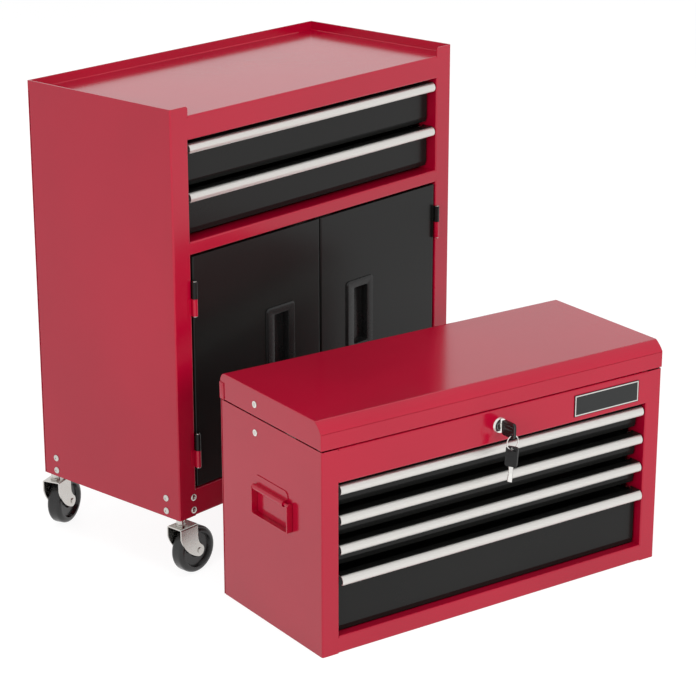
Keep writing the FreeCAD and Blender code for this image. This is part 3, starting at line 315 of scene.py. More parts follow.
@dataclass(frozen=True)
class PowderCoat(Finish):
    """Baked paint on steel: a faint orange peel, and a slightly uneven colour and gloss."""

    peel: float = 0.02 * MM
    peel_scale: float = 420.0
    shift: float = 0.06
    cloud_scale: float = 3.2
    cloud_stops: tuple[tuple[float, float], tuple[float, float]] = ((0.35, 0.0), (0.65, 1.0))
    gloss_scale: float = 9.0
    gloss_low: float = 0.85
    gloss_swing: float = 0.3

    def dress(self, graph: Graph) -> dict[str, object]:
        """What the finish sets on the shader's sockets.

        Args:
            graph: The material's graph.

        Returns:
            A number or wire for each socket's name.
        """
        point = graph.place(self.turn)
        cloud = graph.ramp(graph.noise(point, self.cloud_scale, detail=3.0), self.cloud_stops)
        low, high = (tinted(self.color, 1 + sign * self.shift) for sign in (-1, 1))
        gloss = graph.noise(point, self.gloss_scale, detail=4.0)
        base, swing = self.gloss_low * self.roughness, self.gloss_swing * self.roughness
        fine = graph.noise(point, self.peel_scale, detail=1.0)
        return {
            "Base Color": graph.mix(cloud, low, high),
            "Roughness": gloss * swing + base,
            "Normal": graph.normal(fine, self.peel, self.edge),
        }


@dataclass(frozen=True)
class BrushedSteel(Finish):
    """Plated steel with fine lines along its length."""

    lines: float = 0.006 * MM
    line_scale: float = 2600.0
    line_stretch: tuple[float, float, float] = (0.01, 1.0, 1.0)
    shade: float = 0.9
    gloss_swing: float = 0.14

    def dress(self, graph: Graph) -> dict[str, object]:
        """What the finish sets on the shader's sockets.

        Args:
            graph: The material's graph.

        Returns:
            A number or wire for each socket's name.
        """
        point = graph.place(self.turn, self.line_stretch)
        strokes = graph.noise(point, self.line_scale, detail=3.0)
        return {
            "Base Color": graph.mix(strokes, tinted(self.color, self.shade), self.color),
            "Metallic": 1.0,
            "Roughness": self.uneven(strokes, self.gloss_swing),
            "Normal": graph.normal(strokes, self.lines, self.edge),
        }


@dataclass(frozen=True)
class ZincPlate(Finish):
    """Bright zinc with a cloudy, slightly stained sheen."""

    stain: Color = (0.86, 0.84, 0.8)
    stain_scale: float = 60.0
    grain: float = 0.006 * MM
    grain_scale: float = 1500.0
    gloss_swing: float = 0.16

    def dress(self, graph: Graph) -> dict[str, object]:
        """What the finish sets on the shader's sockets.

        Args:
            graph: The material's graph.

        Returns:
            A number or wire for each socket's name.
        """
        point = graph.place(self.turn)
        cloud = graph.noise(point, self.stain_scale, detail=4.0)
        stained = tuple(part * share for part, share in zip(self.color, self.stain))
        grain = graph.noise(point, self.grain_scale, detail=2.0)
        return {
            "Base Color": graph.mix(cloud, stained, self.color),
            "Metallic": 1.0,
            "Roughness": self.uneven(cloud, self.gloss_swing),
            "Normal": graph.normal(grain, self.grain, self.edge),
        }


@dataclass(frozen=True)
class Chrome(Finish):
    """Polished plating with faint smudges."""

    smudge: float = 0.1
    smudge_scale: float = 140.0

    def dress(self, graph: Graph) -> dict[str, object]:
        """What the finish sets on the shader's sockets.

        Args:
            graph: The material's graph.

        Returns:
            A number or wire for each socket's name.
        """
        wave = graph.noise(graph.place(self.turn), self.smudge_scale, detail=3.0)
        roughness = wave * self.smudge + self.roughness
        return {**super().dress(graph), "Metallic": 1.0, "Roughness": roughness}


@dataclass(frozen=True)
class Moulded(Finish):
    """Moulded plastic: a fine even grain and a colour that clears a little in places."""

    grain: float = 0.02 * MM
    grain_scale: float = 900.0
    lift: float = 0.35
    cloud_scale: float = 22.0
    gloss_scale: float = 45.0
    gloss_swing: float = 0.16

    def dress(self, graph: Graph) -> dict[str, object]:
        """What the finish sets on the shader's sockets.

        Args:
            graph: The material's graph.

        Returns:
            A number or wire for each socket's name.
        """
        point = graph.place(self.turn)
        cloud = graph.noise(point, self.cloud_scale, detail=3.0)
        gloss = graph.noise(point, self.gloss_scale, detail=4.0)
        grain = graph.noise(point, self.grain_scale, detail=2.0)
        return {
            "Base Color": graph.mix(cloud, self.color, tinted(self.color, 1 + self.lift)),
            "Roughness": self.uneven(gloss, self.gloss_swing),
            "Normal": graph.normal(grain, self.grain, self.edge),
        }


FINISHES: tuple[Finish, ...] = (
    PowderCoat(Slot.RED_PAINT, (0.43, 0.001, 0.025), 0.16, specular=0.44, edge=0.08 * MM),
    PowderCoat(Slot.BLACK_PAINT, (0.008, 0.008, 0.0075), 0.24, specular=0.2, peel=0.03 * MM,
               shift=0.12),
    BrushedSteel(Slot.PLATED_PULL, (0.74, 0.72, 0.69), 0.42),
    ZincPlate(Slot.ZINC, (0.62, 0.61, 0.59), 0.26),
    Moulded(Slot.BLACK_PLASTIC, (0.008, 0.008, 0.008), 0.26, specular=0.3),
    Moulded(Slot.WHEEL_PLASTIC, (0.008, 0.008, 0.008), 0.24, grain=0.03 * MM, grain_scale=420.0),
    Chrome(Slot.CHROME, (0.78, 0.77, 0.74), 0.08),
    Moulded(Slot.NAMEPLATE, (0.014, 0.015, 0.015), 0.24, specular=0.3, grain=0.01 * MM),
)


class Paintbox:
    """The materials, each made once for a slot and a turn of its pattern."""

    def __init__(self, finishes: Iterable[Finish]) -> None:
        """Keeps the finishes by their slots."""
        self.finishes = {finish.slot: finish for finish in finishes}
        self.made: dict[tuple[Slot, float], bpy.types.Material] = {}

    def material(self, slot: Slot, turn: float) -> bpy.types.Material:
        """The material of a slot.

        Args:
            slot: The record's slot.
            turn: How far the pattern is turned about Z, in radians.

        Returns:
            The material, made on its first use.
        """
        key = (slot, turn)
        if key not in self.made:
            self.made[key] = replace(self.finishes[slot], turn=turn).build()
        return self.made[key]

    def paint(self, piece: bpy.types.Object, slot: Slot, turn: float = 0.0) -> None:
        """Gives a whole piece the material of a slot."""
        piece.data.materials.clear()
        piece.data.materials.append(self.material(slot, turn))


def joint_of(name: str) -> dict:
    """The record's joint of that name."""
    return next(joint for joint in frame["joints"] if joint["name"] == name)


def mount_of(name: str) -> dict:
    """The record's mount of that name."""
    return next(mount for mount in frame["record"]["mounts"] if mount["name"] == name)


def corners(points: Iterable[Vector]) -> Corners:
    """The lowest and the highest corner of the points."""
    columns = list(zip(*points))
    return Vector([min(column) for column in columns]), Vector([max(column) for column in columns])


@dataclass(frozen=True)
class Place:
    """A local frame: where it stands in the model, and how far it is turned."""

    matrix: Matrix

    @classmethod
    def of_top_box(cls) -> "Place":
        """The top box's own frame, from its base and the line of its lid hinge.

        Returns:
            The frame, with X along the hinge and the base at its origin.
        """
        hinge = -Vector(joint_of("lid_hinge")["axis"]).normalized()
        up = Vector((0.0, 0.0, 1.0))
        turn = Matrix((hinge, up.cross(hinge), up)).transposed()
        return cls(Matrix.Translation(mount_of("box_base")["pos_m"]) @ turn.to_4x4())

    @property
    def turn(self) -> float:
        """The turn about Z that brings the model's coordinates into this frame."""
        return -self.matrix.to_euler().z

    def points(self, node: str) -> list[Vector]:
        """A node's vertices in this frame."""
        back = self.matrix.inverted()
        return [back @ vertex.co for vertex in frame["nodes"][node].data.vertices]

    def extent(self, node: str) -> Corners:
        """A node's lowest and highest corner, measured along this frame's axes."""
        return corners(self.points(node))


def deselect() -> None:
    """Leaves nothing selected and object mode on."""
    if bpy.context.object is not None and bpy.context.object.mode != "OBJECT":
        bpy.ops.object.mode_set(mode="OBJECT")
    bpy.ops.object.select_all(action="DESELECT")


def activate(piece: bpy.types.Object) -> None:
    """Makes a piece the only selected one and the active one.

    Args:
        piece: The piece.
    """
    deselect()
    piece.select_set(True)
    bpy.context.view_layer.objects.active = piece


def settle(piece: bpy.types.Object, matrix: Matrix | None = None) -> None:
    """Leaves a piece's place in its mesh, with the object at the origin.

    Args:
        piece: The piece.
        matrix: What moves it first, if anything does.
    """
    activate(piece)
    if matrix is not None:
        piece.matrix_world = matrix @ piece.matrix_world
    bpy.ops.object.transform_apply(location=True, rotation=True, scale=True)


def block(name: str, low: Vector, high: Vector) -> bpy.types.Object:
    """A cuboid, its place in its mesh.

    Args:
        name: Its name.
        low: Its lowest corner.
        high: Its highest corner.

    Returns:
        The new piece.
    """
    deselect()
    bpy.ops.mesh.primitive_cube_add(size=1.0, location=(low + high) / 2)
    piece = bpy.context.object
    piece.name = name
    piece.scale = high - low
    settle(piece)
    return piece


def cylinder(name: str, centre: Vector, radius: float, length: float,
             sides: int) -> bpy.types.Object:
    """A cylinder along X, its place in its mesh.

    Args:
        name: Its name.
        centre: Its middle.
        radius: Its radius.
        length: Its length.
        sides: How many flat sides it has.

    Returns:
        The new piece.
    """
    deselect()
    bpy.ops.mesh.primitive_cylinder_add(vertices=sides, radius=radius, depth=length,
                                        location=centre, rotation=(0.0, math.pi / 2, 0.0))
    piece = bpy.context.object
    piece.name = name
    settle(piece)
    return piece


def choose(piece: bpy.types.Object, kind: Part, test: EdgeTest | FaceTest) -> None:
    """Selects the faces or edges of a piece in edit mode that pass a test.

    Args:
        piece: The piece, which goes into edit mode if it isn't in it.
        kind: Whether faces or edges are looked at.
        test: Says of a bmesh face or edge whether it is wanted.
    """
    if piece.mode != "EDIT":
        activate(piece)
        bpy.ops.object.mode_set(mode="EDIT")
    bpy.ops.mesh.select_mode(type=kind.value)
    bpy.ops.mesh.select_all(action="DESELECT")
    mesh = bmesh.from_edit_mesh(piece.data)
    for part in mesh.faces if kind is Part.FACE else mesh.edges:
        if test(part):
            part.select_set(True)
    bmesh.update_edit_mesh(piece.data)


def along(way: Way) -> EdgeTest:
    """Makes a test for edges that run along an axis.

    Args:
        way: The axis.

    Returns:
        The test.
    """
    def test(edge: bmesh.types.BMEdge) -> bool:
        """Whether an edge runs along the axis."""
        run = edge.verts[1].co - edge.verts[0].co
        return abs(run[way]) > ALIGNED * run.length
    return test


def on_line(y: float, z: float) -> EdgeTest:
    """Makes a test for edges that lie on a line along X.

    Args:
        y: The line's Y.
        z: Its Z.

    Returns:
        The test.
    """
    def test(edge: bmesh.types.BMEdge) -> bool:
        """Whether both ends of an edge lie on the line."""
        return all(math.hypot(vertex.co.y - y, vertex.co.z - z) < TOUCH for vertex in edge.verts)
    return test


def on_outline(front: float) -> EdgeTest:
    """Makes a test for edges where a plate's front meets its sides.

    Args:
        front: The Y of the front.

    Returns:
        The test.
    """
    def test(edge: bmesh.types.BMEdge) -> bool:
        """Whether an edge lies in the front and on a side."""
        return (all(abs(vertex.co.y - front) < TOUCH for vertex in edge.verts)
                and any(abs(face.normal.y) < ASIDE for face in edge.link_faces))
    return test


def facing(way: Way, sign: int) -> FaceTest:
    """Makes a test for faces that look along an axis.

    Args:
        way: The axis.
        sign: 1 for faces that look up it, and -1 for faces that look down it.

    Returns:
        The test.
    """
    def test(face: bmesh.types.BMFace) -> bool:
        """Whether a face looks that way."""
        return face.normal[way] * sign > ALIGNED
    return test


def round_corners(piece: bpy.types.Object, way: Way, radius: float, steps: int) -> None:
    """Rounds the corners of a block.

    Args:
        piece: The block.
        way: The axis along which the corners' edges run.
        radius: The corners' radius.
        steps: How many faces each gets.
    """
    choose(piece, Part.EDGE, along(way))
    bpy.ops.mesh.bevel(offset=radius, segments=steps, affect="EDGES")
    bpy.ops.object.mode_set(mode="OBJECT")


def soften(piece: bpy.types.Object, radius: float, steps: int = 2) -> None:
    """Rounds every sharp edge of a finished form and shades it smooth up to those edges.

    Args:
        piece: The piece.
        radius: How wide the rounding is.
        steps: How many faces it gets.
    """
    activate(piece)
    bevel = piece.modifiers.new("Soften", "BEVEL")
    bevel.width = radius
    bevel.segments = steps
    bevel.limit_method = "ANGLE"
    bevel.angle_limit = BEVEL_ANGLE
    bpy.ops.object.modifier_apply(modifier=bevel.name)
    bpy.ops.object.shade_smooth_by_angle(angle=SMOOTH_ANGLE)


def combine(piece: bpy.types.Object, tool: bpy.types.Object, change: Change) -> None:
    """Changes a piece by a tool, and removes the tool.

    Args:
        piece: The piece.
        tool: The form that is united with it or cut from it.
        change: Which of the two.
    """
    activate(piece)
    boolean = piece.modifiers.new("Combine", "BOOLEAN")
    boolean.operation = change.value
    boolean.solver = "EXACT"
    boolean.object = tool
    bpy.ops.object.modifier_apply(modifier=boolean.name)
    bpy.data.objects.remove(tool)


def copy_of(piece: bpy.types.Object, name: str, matrix: Matrix) -> bpy.types.Object:
    """A copy of a piece with its own mesh.

    Args:
        piece: What is copied.
        name: The copy's name.
        matrix: What moves it.

    Returns:
        The copy.
    """
    twin = piece.copy()
    twin.data = piece.data.copy()
    twin.name = name
    bpy.context.scene.collection.objects.link(twin)
    settle(twin, matrix)
    return twin


def joined(pieces: list[bpy.types.Object], name: str) -> bpy.types.Object:
    """One object from several.

    Args:
        pieces: The objects, of which the first takes up the others.
        name: The whole's name.

    Returns:
        The whole.
    """
    deselect()
    for piece in pieces:
        piece.select_set(True)
    bpy.context.view_layer.objects.active = pieces[0]
    bpy.ops.object.join()
    pieces[0].name = name
    return pieces[0]


@dataclass
class DoorPull:
    """The moulded pull let into a door: a bevelled rim, and a slot with a pocket behind it."""

    side: Side
    slot_width: float = 31 * MM
    slot_height: float = 92 * MM
    rim_thickness: float = 3 * MM
    rim_corner: float = 6 * MM
    rim_steps: int = 6
    slope: float = 2.4 * MM
    slope_share: float = 0.55
    pocket_depth: float = 12 * MM
    wall: float = 2.5 * MM
    wall_steps: int = 3
    edge: float = 0.5 * MM
    edge_steps: int = 3

    def _rim(self, low: Vector, high: Vector) -> bpy.types.Object:
        """The plate, with round corners and a front that slopes back to its outline.

        Args:
            low: The pull's lowest corner.
            high: Its highest corner.

        Returns:
            The plate.
        """
        rim = block(f"door_pull_{self.side}", low, self._at(high, low.y + self.rim_thickness))
        round_corners(rim, Way.Y, self.rim_corner, self.rim_steps)
        choose(rim, Part.FACE, facing(Way.Y, -1))
        bpy.ops.mesh.inset(thickness=self.slope, depth=0.0)
        choose(rim, Part.EDGE, on_outline(low.y))
        bpy.ops.transform.translate(value=(0.0, self.rim_thickness * self.slope_share, 0.0))
        bpy.ops.object.mode_set(mode="OBJECT")
        return rim

    def build(self, paint: Paintbox) -> list[bpy.types.Object]:
        """Models the pull in the place of its plain node.

        Args:
            paint: Gives the finish.

        Returns:
            The finished piece.
        """
        node = f"door_{self.side}_pull"
        low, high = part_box(node)
        rim = self._rim(low, high)
        half = Vector((self.slot_width / 2, 0.0, self.slot_height / 2))
        middle = Vector(((low.x + high.x) / 2, 0.0, (low.z + high.z) / 2))
        reach = half + Vector((self.wall, 0.0, self.wall))
        back = low.y + self.pocket_depth
        pocket = block("pocket", self._at(middle - reach, low.y + self.rim_thickness / 2),
                       self._at(middle + reach, back + self.wall))
        slot = block("slot", self._at(middle - half, low.y - self.wall),
                     self._at(middle + half, back))
        for form, change in ((pocket, Change.UNITE), (slot, Change.CUT)):
            round_corners(form, Way.Y, self.wall, self.wall_steps)
            combine(rim, form, change)
        soften(rim, self.edge, self.edge_steps)
        paint.paint(rim, Slot.BLACK_PLASTIC)
        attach(rim, f"{self.side}_door")
        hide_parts(node)
        return [rim]

    @staticmethod
    def _at(point: Vector, y: float) -> Vector:
        """A point with its Y changed."""
        return Vector((point.x, y, point.z))


@dataclass
class BracketBolts:
    """The sixteen domed bolts of the caster brackets, each with its socket, shank and nut."""

    inset: float = 28 * MM
    rises: tuple[float, float] = (10 * MM, 30 * MM)
    head: float = 5.25 * MM
    head_sides: int = 24
    rim: float = 0.8 * MM
    crown: float = 2.6 * MM
    crown_arc: float = 0.36 * math.pi
    crown_rows: int = 5
    crown_smooth: float = math.radians(40)
    socket: float = 1.5 * MM
    socket_depth: float = 0.9 * MM
    socket_taper: float = 0.92
    shank: float = 2.5 * MM
    shank_sides: int = 16
    reach: float = 7.4 * MM
    nut: float = 4.6 * MM
    nut_thickness: float = 3 * MM
    nut_sides: int = 6

    def _pattern(self) -> bpy.types.Object:
        """Models one bolt, which is then copied.

        Returns:
            The bolt, whose head stands on the plane X = 0 and looks along +X.
        """
        deselect()
        bpy.ops.mesh.primitive_circle_add(vertices=self.head_sides, radius=self.head,
                                          fill_type="NGON", rotation=(0.0, math.pi / 2, 0.0))
        bolt = bpy.context.object
        settle(bolt)
        choose(bolt, Part.FACE, lambda face: True)
        height, width = self.rim, 1.0
        self._grow(height, width)
        for row in range(1, self.crown_rows + 1):
            angle = self.crown_arc * row / self.crown_rows
            share = math.sin(angle) / math.sin(self.crown_arc)
            next_height = self.rim + (self.crown - self.rim) * share
            next_width = math.cos(angle)
            self._grow(next_height - height, next_width / width)
            height, width = next_height, next_width
        bpy.ops.mesh.inset(thickness=self.head * width - self.socket)
        self._grow(-self.socket_depth, self.socket_taper)
        bpy.ops.object.mode_set(mode="OBJECT")
        bpy.ops.object.shade_smooth_by_angle(angle=self.crown_smooth)
        stem = cylinder("shank", Vector((-self.reach / 2, 0.0, 0.0)), self.shank, self.reach,
                        self.shank_sides)
        nut = cylinder("nut", Vector((self.nut_thickness / 2 - self.reach, 0.0, 0.0)), self.nut,
                       self.nut_thickness, self.nut_sides)
        return joined([bolt, stem, nut], "bolt_pattern")

    @staticmethod
    def _grow(rise: float, share: float) -> None:
        """Extrudes the selected face outwards and narrows it."""
        bpy.ops.mesh.extrude_region_move(TRANSFORM_OT_translate={"value": (rise, 0.0, 0.0)})
        bpy.ops.transform.resize(value=(1.0, share, share), center_override=(0.0, 0.0, 0.0))

    def _seats(self) -> list[Matrix]:
        """Finds the bolts' places on the cabinet.

        Returns:
            A matrix for each, on the sides and then on the back and front, row by row.
        """
        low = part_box("trolley_side_left")[0]
        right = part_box("trolley_side_right")[1].x
        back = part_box("trolley_back")[1].y
        seats = []
        for rise in self.rises:
            z = low.z + rise
            for y in (low.y + self.inset, back - self.inset):
                seats += [((right, y, z), 0.0), ((low.x, y, z), math.pi)]
            for x in (low.x + self.inset, right - self.inset):
                seats += [((x, back, z), math.pi / 2), ((x, low.y, z), -math.pi / 2)]
        return [Matrix.Translation(spot) @ Matrix.Rotation(turn, 4, "Z") for spot, turn in seats]

    def build(self, paint: Paintbox) -> list[bpy.types.Object]:
        """Sets the bolts on the cabinet's sides, front and back.

        Args:
            paint: Gives the finish.

        Returns:
            The sixteen bolts as one piece.
        """
        pattern = self._pattern()
        bolts = [copy_of(pattern, f"bolt_{number}", seat)
                 for number, seat in enumerate(self._seats())]
        bpy.data.objects.remove(pattern)
        whole = joined(bolts, "bracket_bolts")
        paint.paint(whole, Slot.ZINC)
        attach(whole, "trolley")
        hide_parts("caster_bracket_bolts")
        return [whole]


@dataclass
class Keys:
    """The key in the lock, and its twin that hangs from the ring."""

    place: Place
    bow_length: float = 27 * MM
    bow_thickness: float = 4.4 * MM
    bow_corner: float = 4 * MM
    bow_steps: int = 5
    bow_edge: float = 0.35 * MM
    frame_width: float = 2.6 * MM
    groove: float = 0.7 * MM
    ribs: int = 3
    rib_sink: float = 0.3 * MM
    rib_half: float = 0.7 * MM
    eye: float = 2.5 * MM
    eye_sides: int = 24
    blade_width: float = 7 * MM
    blade_thickness: float = 2 * MM
    blade_root: float = 1 * MM
    blade_edge: float = 0.15 * MM
    notch: float = 0.35
    notch_sides: int = 4
    notches: tuple[tuple[float, float], ...] = ((0.35, 0.16), (0.5, 0.26), (0.65, 0.12), (0.8, 0.2))
    spare_width: float = 18 * MM
    spare_height: float = 29 * MM
    spare_blade: float = 22 * MM
    spare_head: float = 2 * MM
    spare_rise: float = 0.2 * MM
    spare_twist: float = 30.0
    spare_tilt: float = 10.0

    def _bow(self, name: str, low: Vector, high: Vector, eye: Vector) -> bpy.types.Object:
        """A moulded bow across X, with a sunk, ribbed panel in each face and an eye.

        Args:
            name: Its name.
            low: Its lowest corner.
            high: Its highest corner.
            eye: The middle of the eye.

        Returns:
            The bow, in the place's own frame.
        """
        bow = block(name, low, high)
        round_corners(bow, Way.X, self.bow_corner, self.bow_steps)
        for side in Side:
            choose(bow, Part.FACE, facing(Way.X, side.sign))
            bpy.ops.mesh.inset(thickness=self.frame_width, depth=-self.groove)
            bpy.ops.object.mode_set(mode="OBJECT")
        for number in range(1, self.ribs + 1):
            z = low.z + (high.z - low.z) * number / (self.ribs + 1)
            inward = Vector((self.rib_sink, self.frame_width, 0.0))
            rib = block("rib", Vector((low.x, low.y, z - self.rib_half)) + inward,
                        Vector((high.x, high.y, z + self.rib_half)) - inward)
            combine(bow, rib, Change.UNITE)
        cutter = cylinder("eye", eye, self.eye, THROUGH * self.bow_thickness, self.eye_sides)
        combine(bow, cutter, Change.CUT)
        soften(bow, self.bow_edge)
        return bow

    def _blade(self, name: str, low: Vector, high: Vector, way: Way) -> bpy.types.Object:
        """A flat blade with notches along its upper or rear edge.

        Args:
            name: Its name.
            low: Its lowest corner.
            high: Its highest corner.
            way: The axis along which it runs, Y or Z.

        Returns:
            The blade, in the place's own frame.
        """
        blade = block(name, low, high)
        across = Way.Z if way is Way.Y else Way.Y
        for share, depth in self.notches:
            spot = (low + high) / 2
            spot[way] = low[way] + (high[way] - low[way]) * share
            spot[across] = high[across] + self.blade_width * (self.notch - depth)
            cutter = cylinder("notch", spot, self.blade_width * self.notch,
                              THROUGH * self.blade_thickness, self.notch_sides)
            combine(blade, cutter, Change.CUT)
        soften(blade, self.blade_edge)
        return blade

    def _lock_key(self, eye_y: float) -> tuple[bpy.types.Object, bpy.types.Object]:
        """Models the key in the lock.

        Args:
            eye_y: Where its eye is, from front to back.

        Returns:
            The bow and the blade.
        """
        low, high = self.place.extent("lock_key")
        half, thin, wide = self.bow_thickness / 2, self.blade_thickness / 2, self.blade_width / 2
        bow_end = low.y + self.bow_length
        lock_z = (low.z + high.z) / 2
        bow = self._bow("key_bow", Vector((-half, low.y, low.z)), Vector((half, bow_end, high.z)),
                        Vector((0.0, eye_y, low.z + 2 * self.eye)))
        blade = self._blade("key_blade", Vector((-thin, bow_end - self.blade_root, lock_z - wide)),
                            Vector((thin, high.y, lock_z + wide)), Way.Y)
        return bow, blade

    def _spare_key(self, eye_y: float, ring_z: float) -> tuple[bpy.types.Object, bpy.types.Object]:
        """Models the key on the ring as if it hung straight down.

        Args:
            eye_y: Where its eye is, from front to back.
            ring_z: The height of the ring's lowest point.

        Returns:
            The bow and the blade.
        """
        half, thin, wide = self.bow_thickness / 2, self.blade_thickness / 2, self.blade_width / 2
        top = ring_z + self.eye + self.spare_head
        foot = top - self.spare_height
        bow = self._bow("spare_key_bow", Vector((-half, eye_y - self.spare_width / 2, foot)),
                        Vector((half, eye_y + self.spare_width / 2, top)),
                        Vector((0.0, eye_y, ring_z + self.spare_rise)))
        tip = foot - self.spare_blade
        blade = self._blade("spare_key_blade", Vector((-thin, eye_y - wide, tip)),
                            Vector((thin, eye_y + wide, foot + self.blade_root)), Way.Z)
        return bow, blade

    def build(self, paint: Paintbox) -> list[bpy.types.Object]:
        """Models both keys.

        Args:
            paint: Gives the finishes.

        Returns:
            The two bows and the two blades.
        """
        ring_low, ring_high = self.place.extent("key_ring")
        eye_y = (ring_low.y + ring_high.y) / 2
        bow, blade = self._lock_key(eye_y)
        spare_bow, spare_blade = self._spare_key(eye_y, ring_low.z)
        pivot = Vector((0.0, eye_y, ring_low.z + self.spare_rise))
        hang = (Matrix.Translation(pivot)
                @ Matrix.Rotation(math.radians(self.spare_twist), 4, "Z")
                @ Matrix.Rotation(math.radians(self.spare_tilt), 4, "Y")
                @ Matrix.Translation(-pivot))
        bodies = ((bow, "key", Slot.BLACK_PLASTIC), (blade, "key", Slot.CHROME),
                  (spare_bow, "ring", Slot.BLACK_PLASTIC), (spare_blade, "ring", Slot.CHROME))
        for piece, body, slot in bodies:
            settle(piece, self.place.matrix @ hang if body == "ring" else self.place.matrix)
            paint.paint(piece, slot, self.place.turn)
            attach(piece, body)
        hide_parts("lock_key")
        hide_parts("lock_key")
        return [piece for piece, _, _ in bodies]


@dataclass
class Lid:
    """The top box's lid: a sheet tray with a rolled front edge over a crease, and its hook."""

    place: Place
    sheet: float = 1.2 * MM
    gap: float = 2.0 * MM
    roll: float = 15.5 * MM
    roll_bulge: float = 0.32
    rear_radius: float = 13 * MM
    rear_bulge: float = 0.5
    bend_steps: int = 12
    fold: float = 1.4 * MM
    fold_steps: int = 4
    crease_depth: float = 0.8 * MM
    crease_height: float = 1.0 * MM
    rim_width: float = 8 * MM

    def _tray(self, name: str, low: Vector, high: Vector) -> bpy.types.Object:
        """A block with its upper front edge rolled and its upper rear edge rounded.

        Args:
            name: Its name.
            low: Its lowest corner.
            high: Its highest corner.

        Returns:
            The block, in the place's own frame.
        """
        tray = block(name, low, high)
        bends = ((low.y, self.roll, self.roll_bulge), (high.y, self.rear_radius, self.rear_bulge))
        for y, radius, bulge in bends:
            choose(tray, Part.EDGE, on_line(y, high.z))
            bpy.ops.mesh.bevel(offset=radius, segments=self.bend_steps, profile=bulge,
                               affect="EDGES")
        bpy.ops.object.mode_set(mode="OBJECT")
        return tray

    def _shell(self, low: Vector, high: Vector) -> bpy.types.Object:
        """The tray of sheet, open below, with its crease and a rim folded in behind the front.

        Args:
            low: Its lowest corner.
            high: Its highest corner.

        Returns:
            The shell, in the place's own frame.
        """
        lid = self._tray("top_box_lid", low, high)
        soften(lid, self.fold, self.fold_steps)
        crease = high.z - self.roll
        cutter = block("crease", Vector((low.x - PAST, low.y - PAST, crease - self.crease_height)),
                       Vector((high.x + PAST, low.y + self.crease_depth, crease)))
        combine(lid, cutter, Change.CUT)
        wall = Vector((self.sheet, self.sheet, self.sheet))
        below = Vector((low.x, low.y, low.z - 2 * self.sheet))
        combine(lid, self._tray("hollow", below + wall, high - wall), Change.CUT)
        inner, lap = low.y + self.sheet, self.sheet / 2
        rim = block("rim", Vector((low.x + lap, inner - lap, low.z)),
                    Vector((high.x - lap, inner + self.rim_width, low.z + self.sheet)))
        combine(lid, rim, Change.UNITE)
        return lid

    def _hook(self, rim: float, foot: float) -> list[bpy.types.Object]:
        """Models the hook behind the front, where the plain node has it.

        Args:
            rim: The height of the box's rim, under which the hook reaches.
            foot: The height of the lid's lower edge.

        Returns:
            A tongue, a drop and a catch, in the place's own frame.
        """
        low, high = corners(point for point in self.place.points("box_lid") if point.z < rim)
        front = self.place.extent("box_front_panel")[0].y + self.sheet
        tongue = foot + self.sheet
        top = tongue + self.sheet
        inner = Vector((high.x, high.y, top))
        return [block("tongue", Vector((low.x, front, tongue)), inner),
                block("drop", Vector((low.x, high.y - self.sheet, low.z)), inner),
                block("catch", low, Vector((high.x, high.y, low.z + self.sheet)))]

    @staticmethod
    def _level(piece: bpy.types.Object) -> None:
        """Shades a piece smooth, with its large faces flat.

        Args:
            piece: The piece.
        """
        activate(piece)
        bpy.ops.object.shade_smooth_by_angle(angle=SMOOTH_ANGLE)
        level = piece.modifiers.new("Level", "WEIGHTED_NORMAL")
        level.keep_sharp = True
        level.weight = FACE_WEIGHT
        bpy.ops.object.modifier_apply(modifier=level.name)

    def build(self, paint: Paintbox) -> list[bpy.types.Object]:
        """Models the lid in the place of its plain node.

        Args:
            paint: Gives the finish.

        Returns:
            The finished lid.
        """
        low, high = self.place.extent("box_lid")
        rim = self.place.extent("box_side_left")[1].z
        foot = rim + self.gap
        lid = self._shell(Vector((low.x, low.y, foot)), high)
        self._level(lid)
        lid = joined([lid, *self._hook(rim, foot)], lid.name)
        settle(lid, self.place.matrix)
        paint.paint(lid, Slot.RED_PAINT, self.place.turn)
        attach(lid, "box_cover")
        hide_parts("box_lid")
        return [lid]


@dataclass
class FrameWelds:
    """The flush welds that fill the folds where front rails meet the two posts."""

    name: str
    body: str
    place: Place
    rails: tuple[str, ...]
    fold: float = FOLD

    def build(self, paint: Paintbox) -> list[bpy.types.Object]:
        """Models the welds at both ends of every rail.

        Args:
            paint: Gives the finish.

        Returns:
            The welds as one piece.
        """
        bars = []
        for rail in self.rails:
            points = self.place.points(rail)
            front = min(point.y for point in points)
            low, high = corners(point for point in points if point.y < front + TOUCH)
            for side in Side:
                ends = sorted((side.sign * high.x, side.sign * (high.x + self.fold)))
                bars.append(block("weld", Vector((ends[0], front, low.z)),
                                  Vector((ends[1], front + self.fold, high.z))))
        welds = joined(bars, self.name)
        settle(welds, self.place.matrix)
        paint.paint(welds, Slot.RED_PAINT, self.place.turn)
        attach(welds, self.body)
        return [welds]


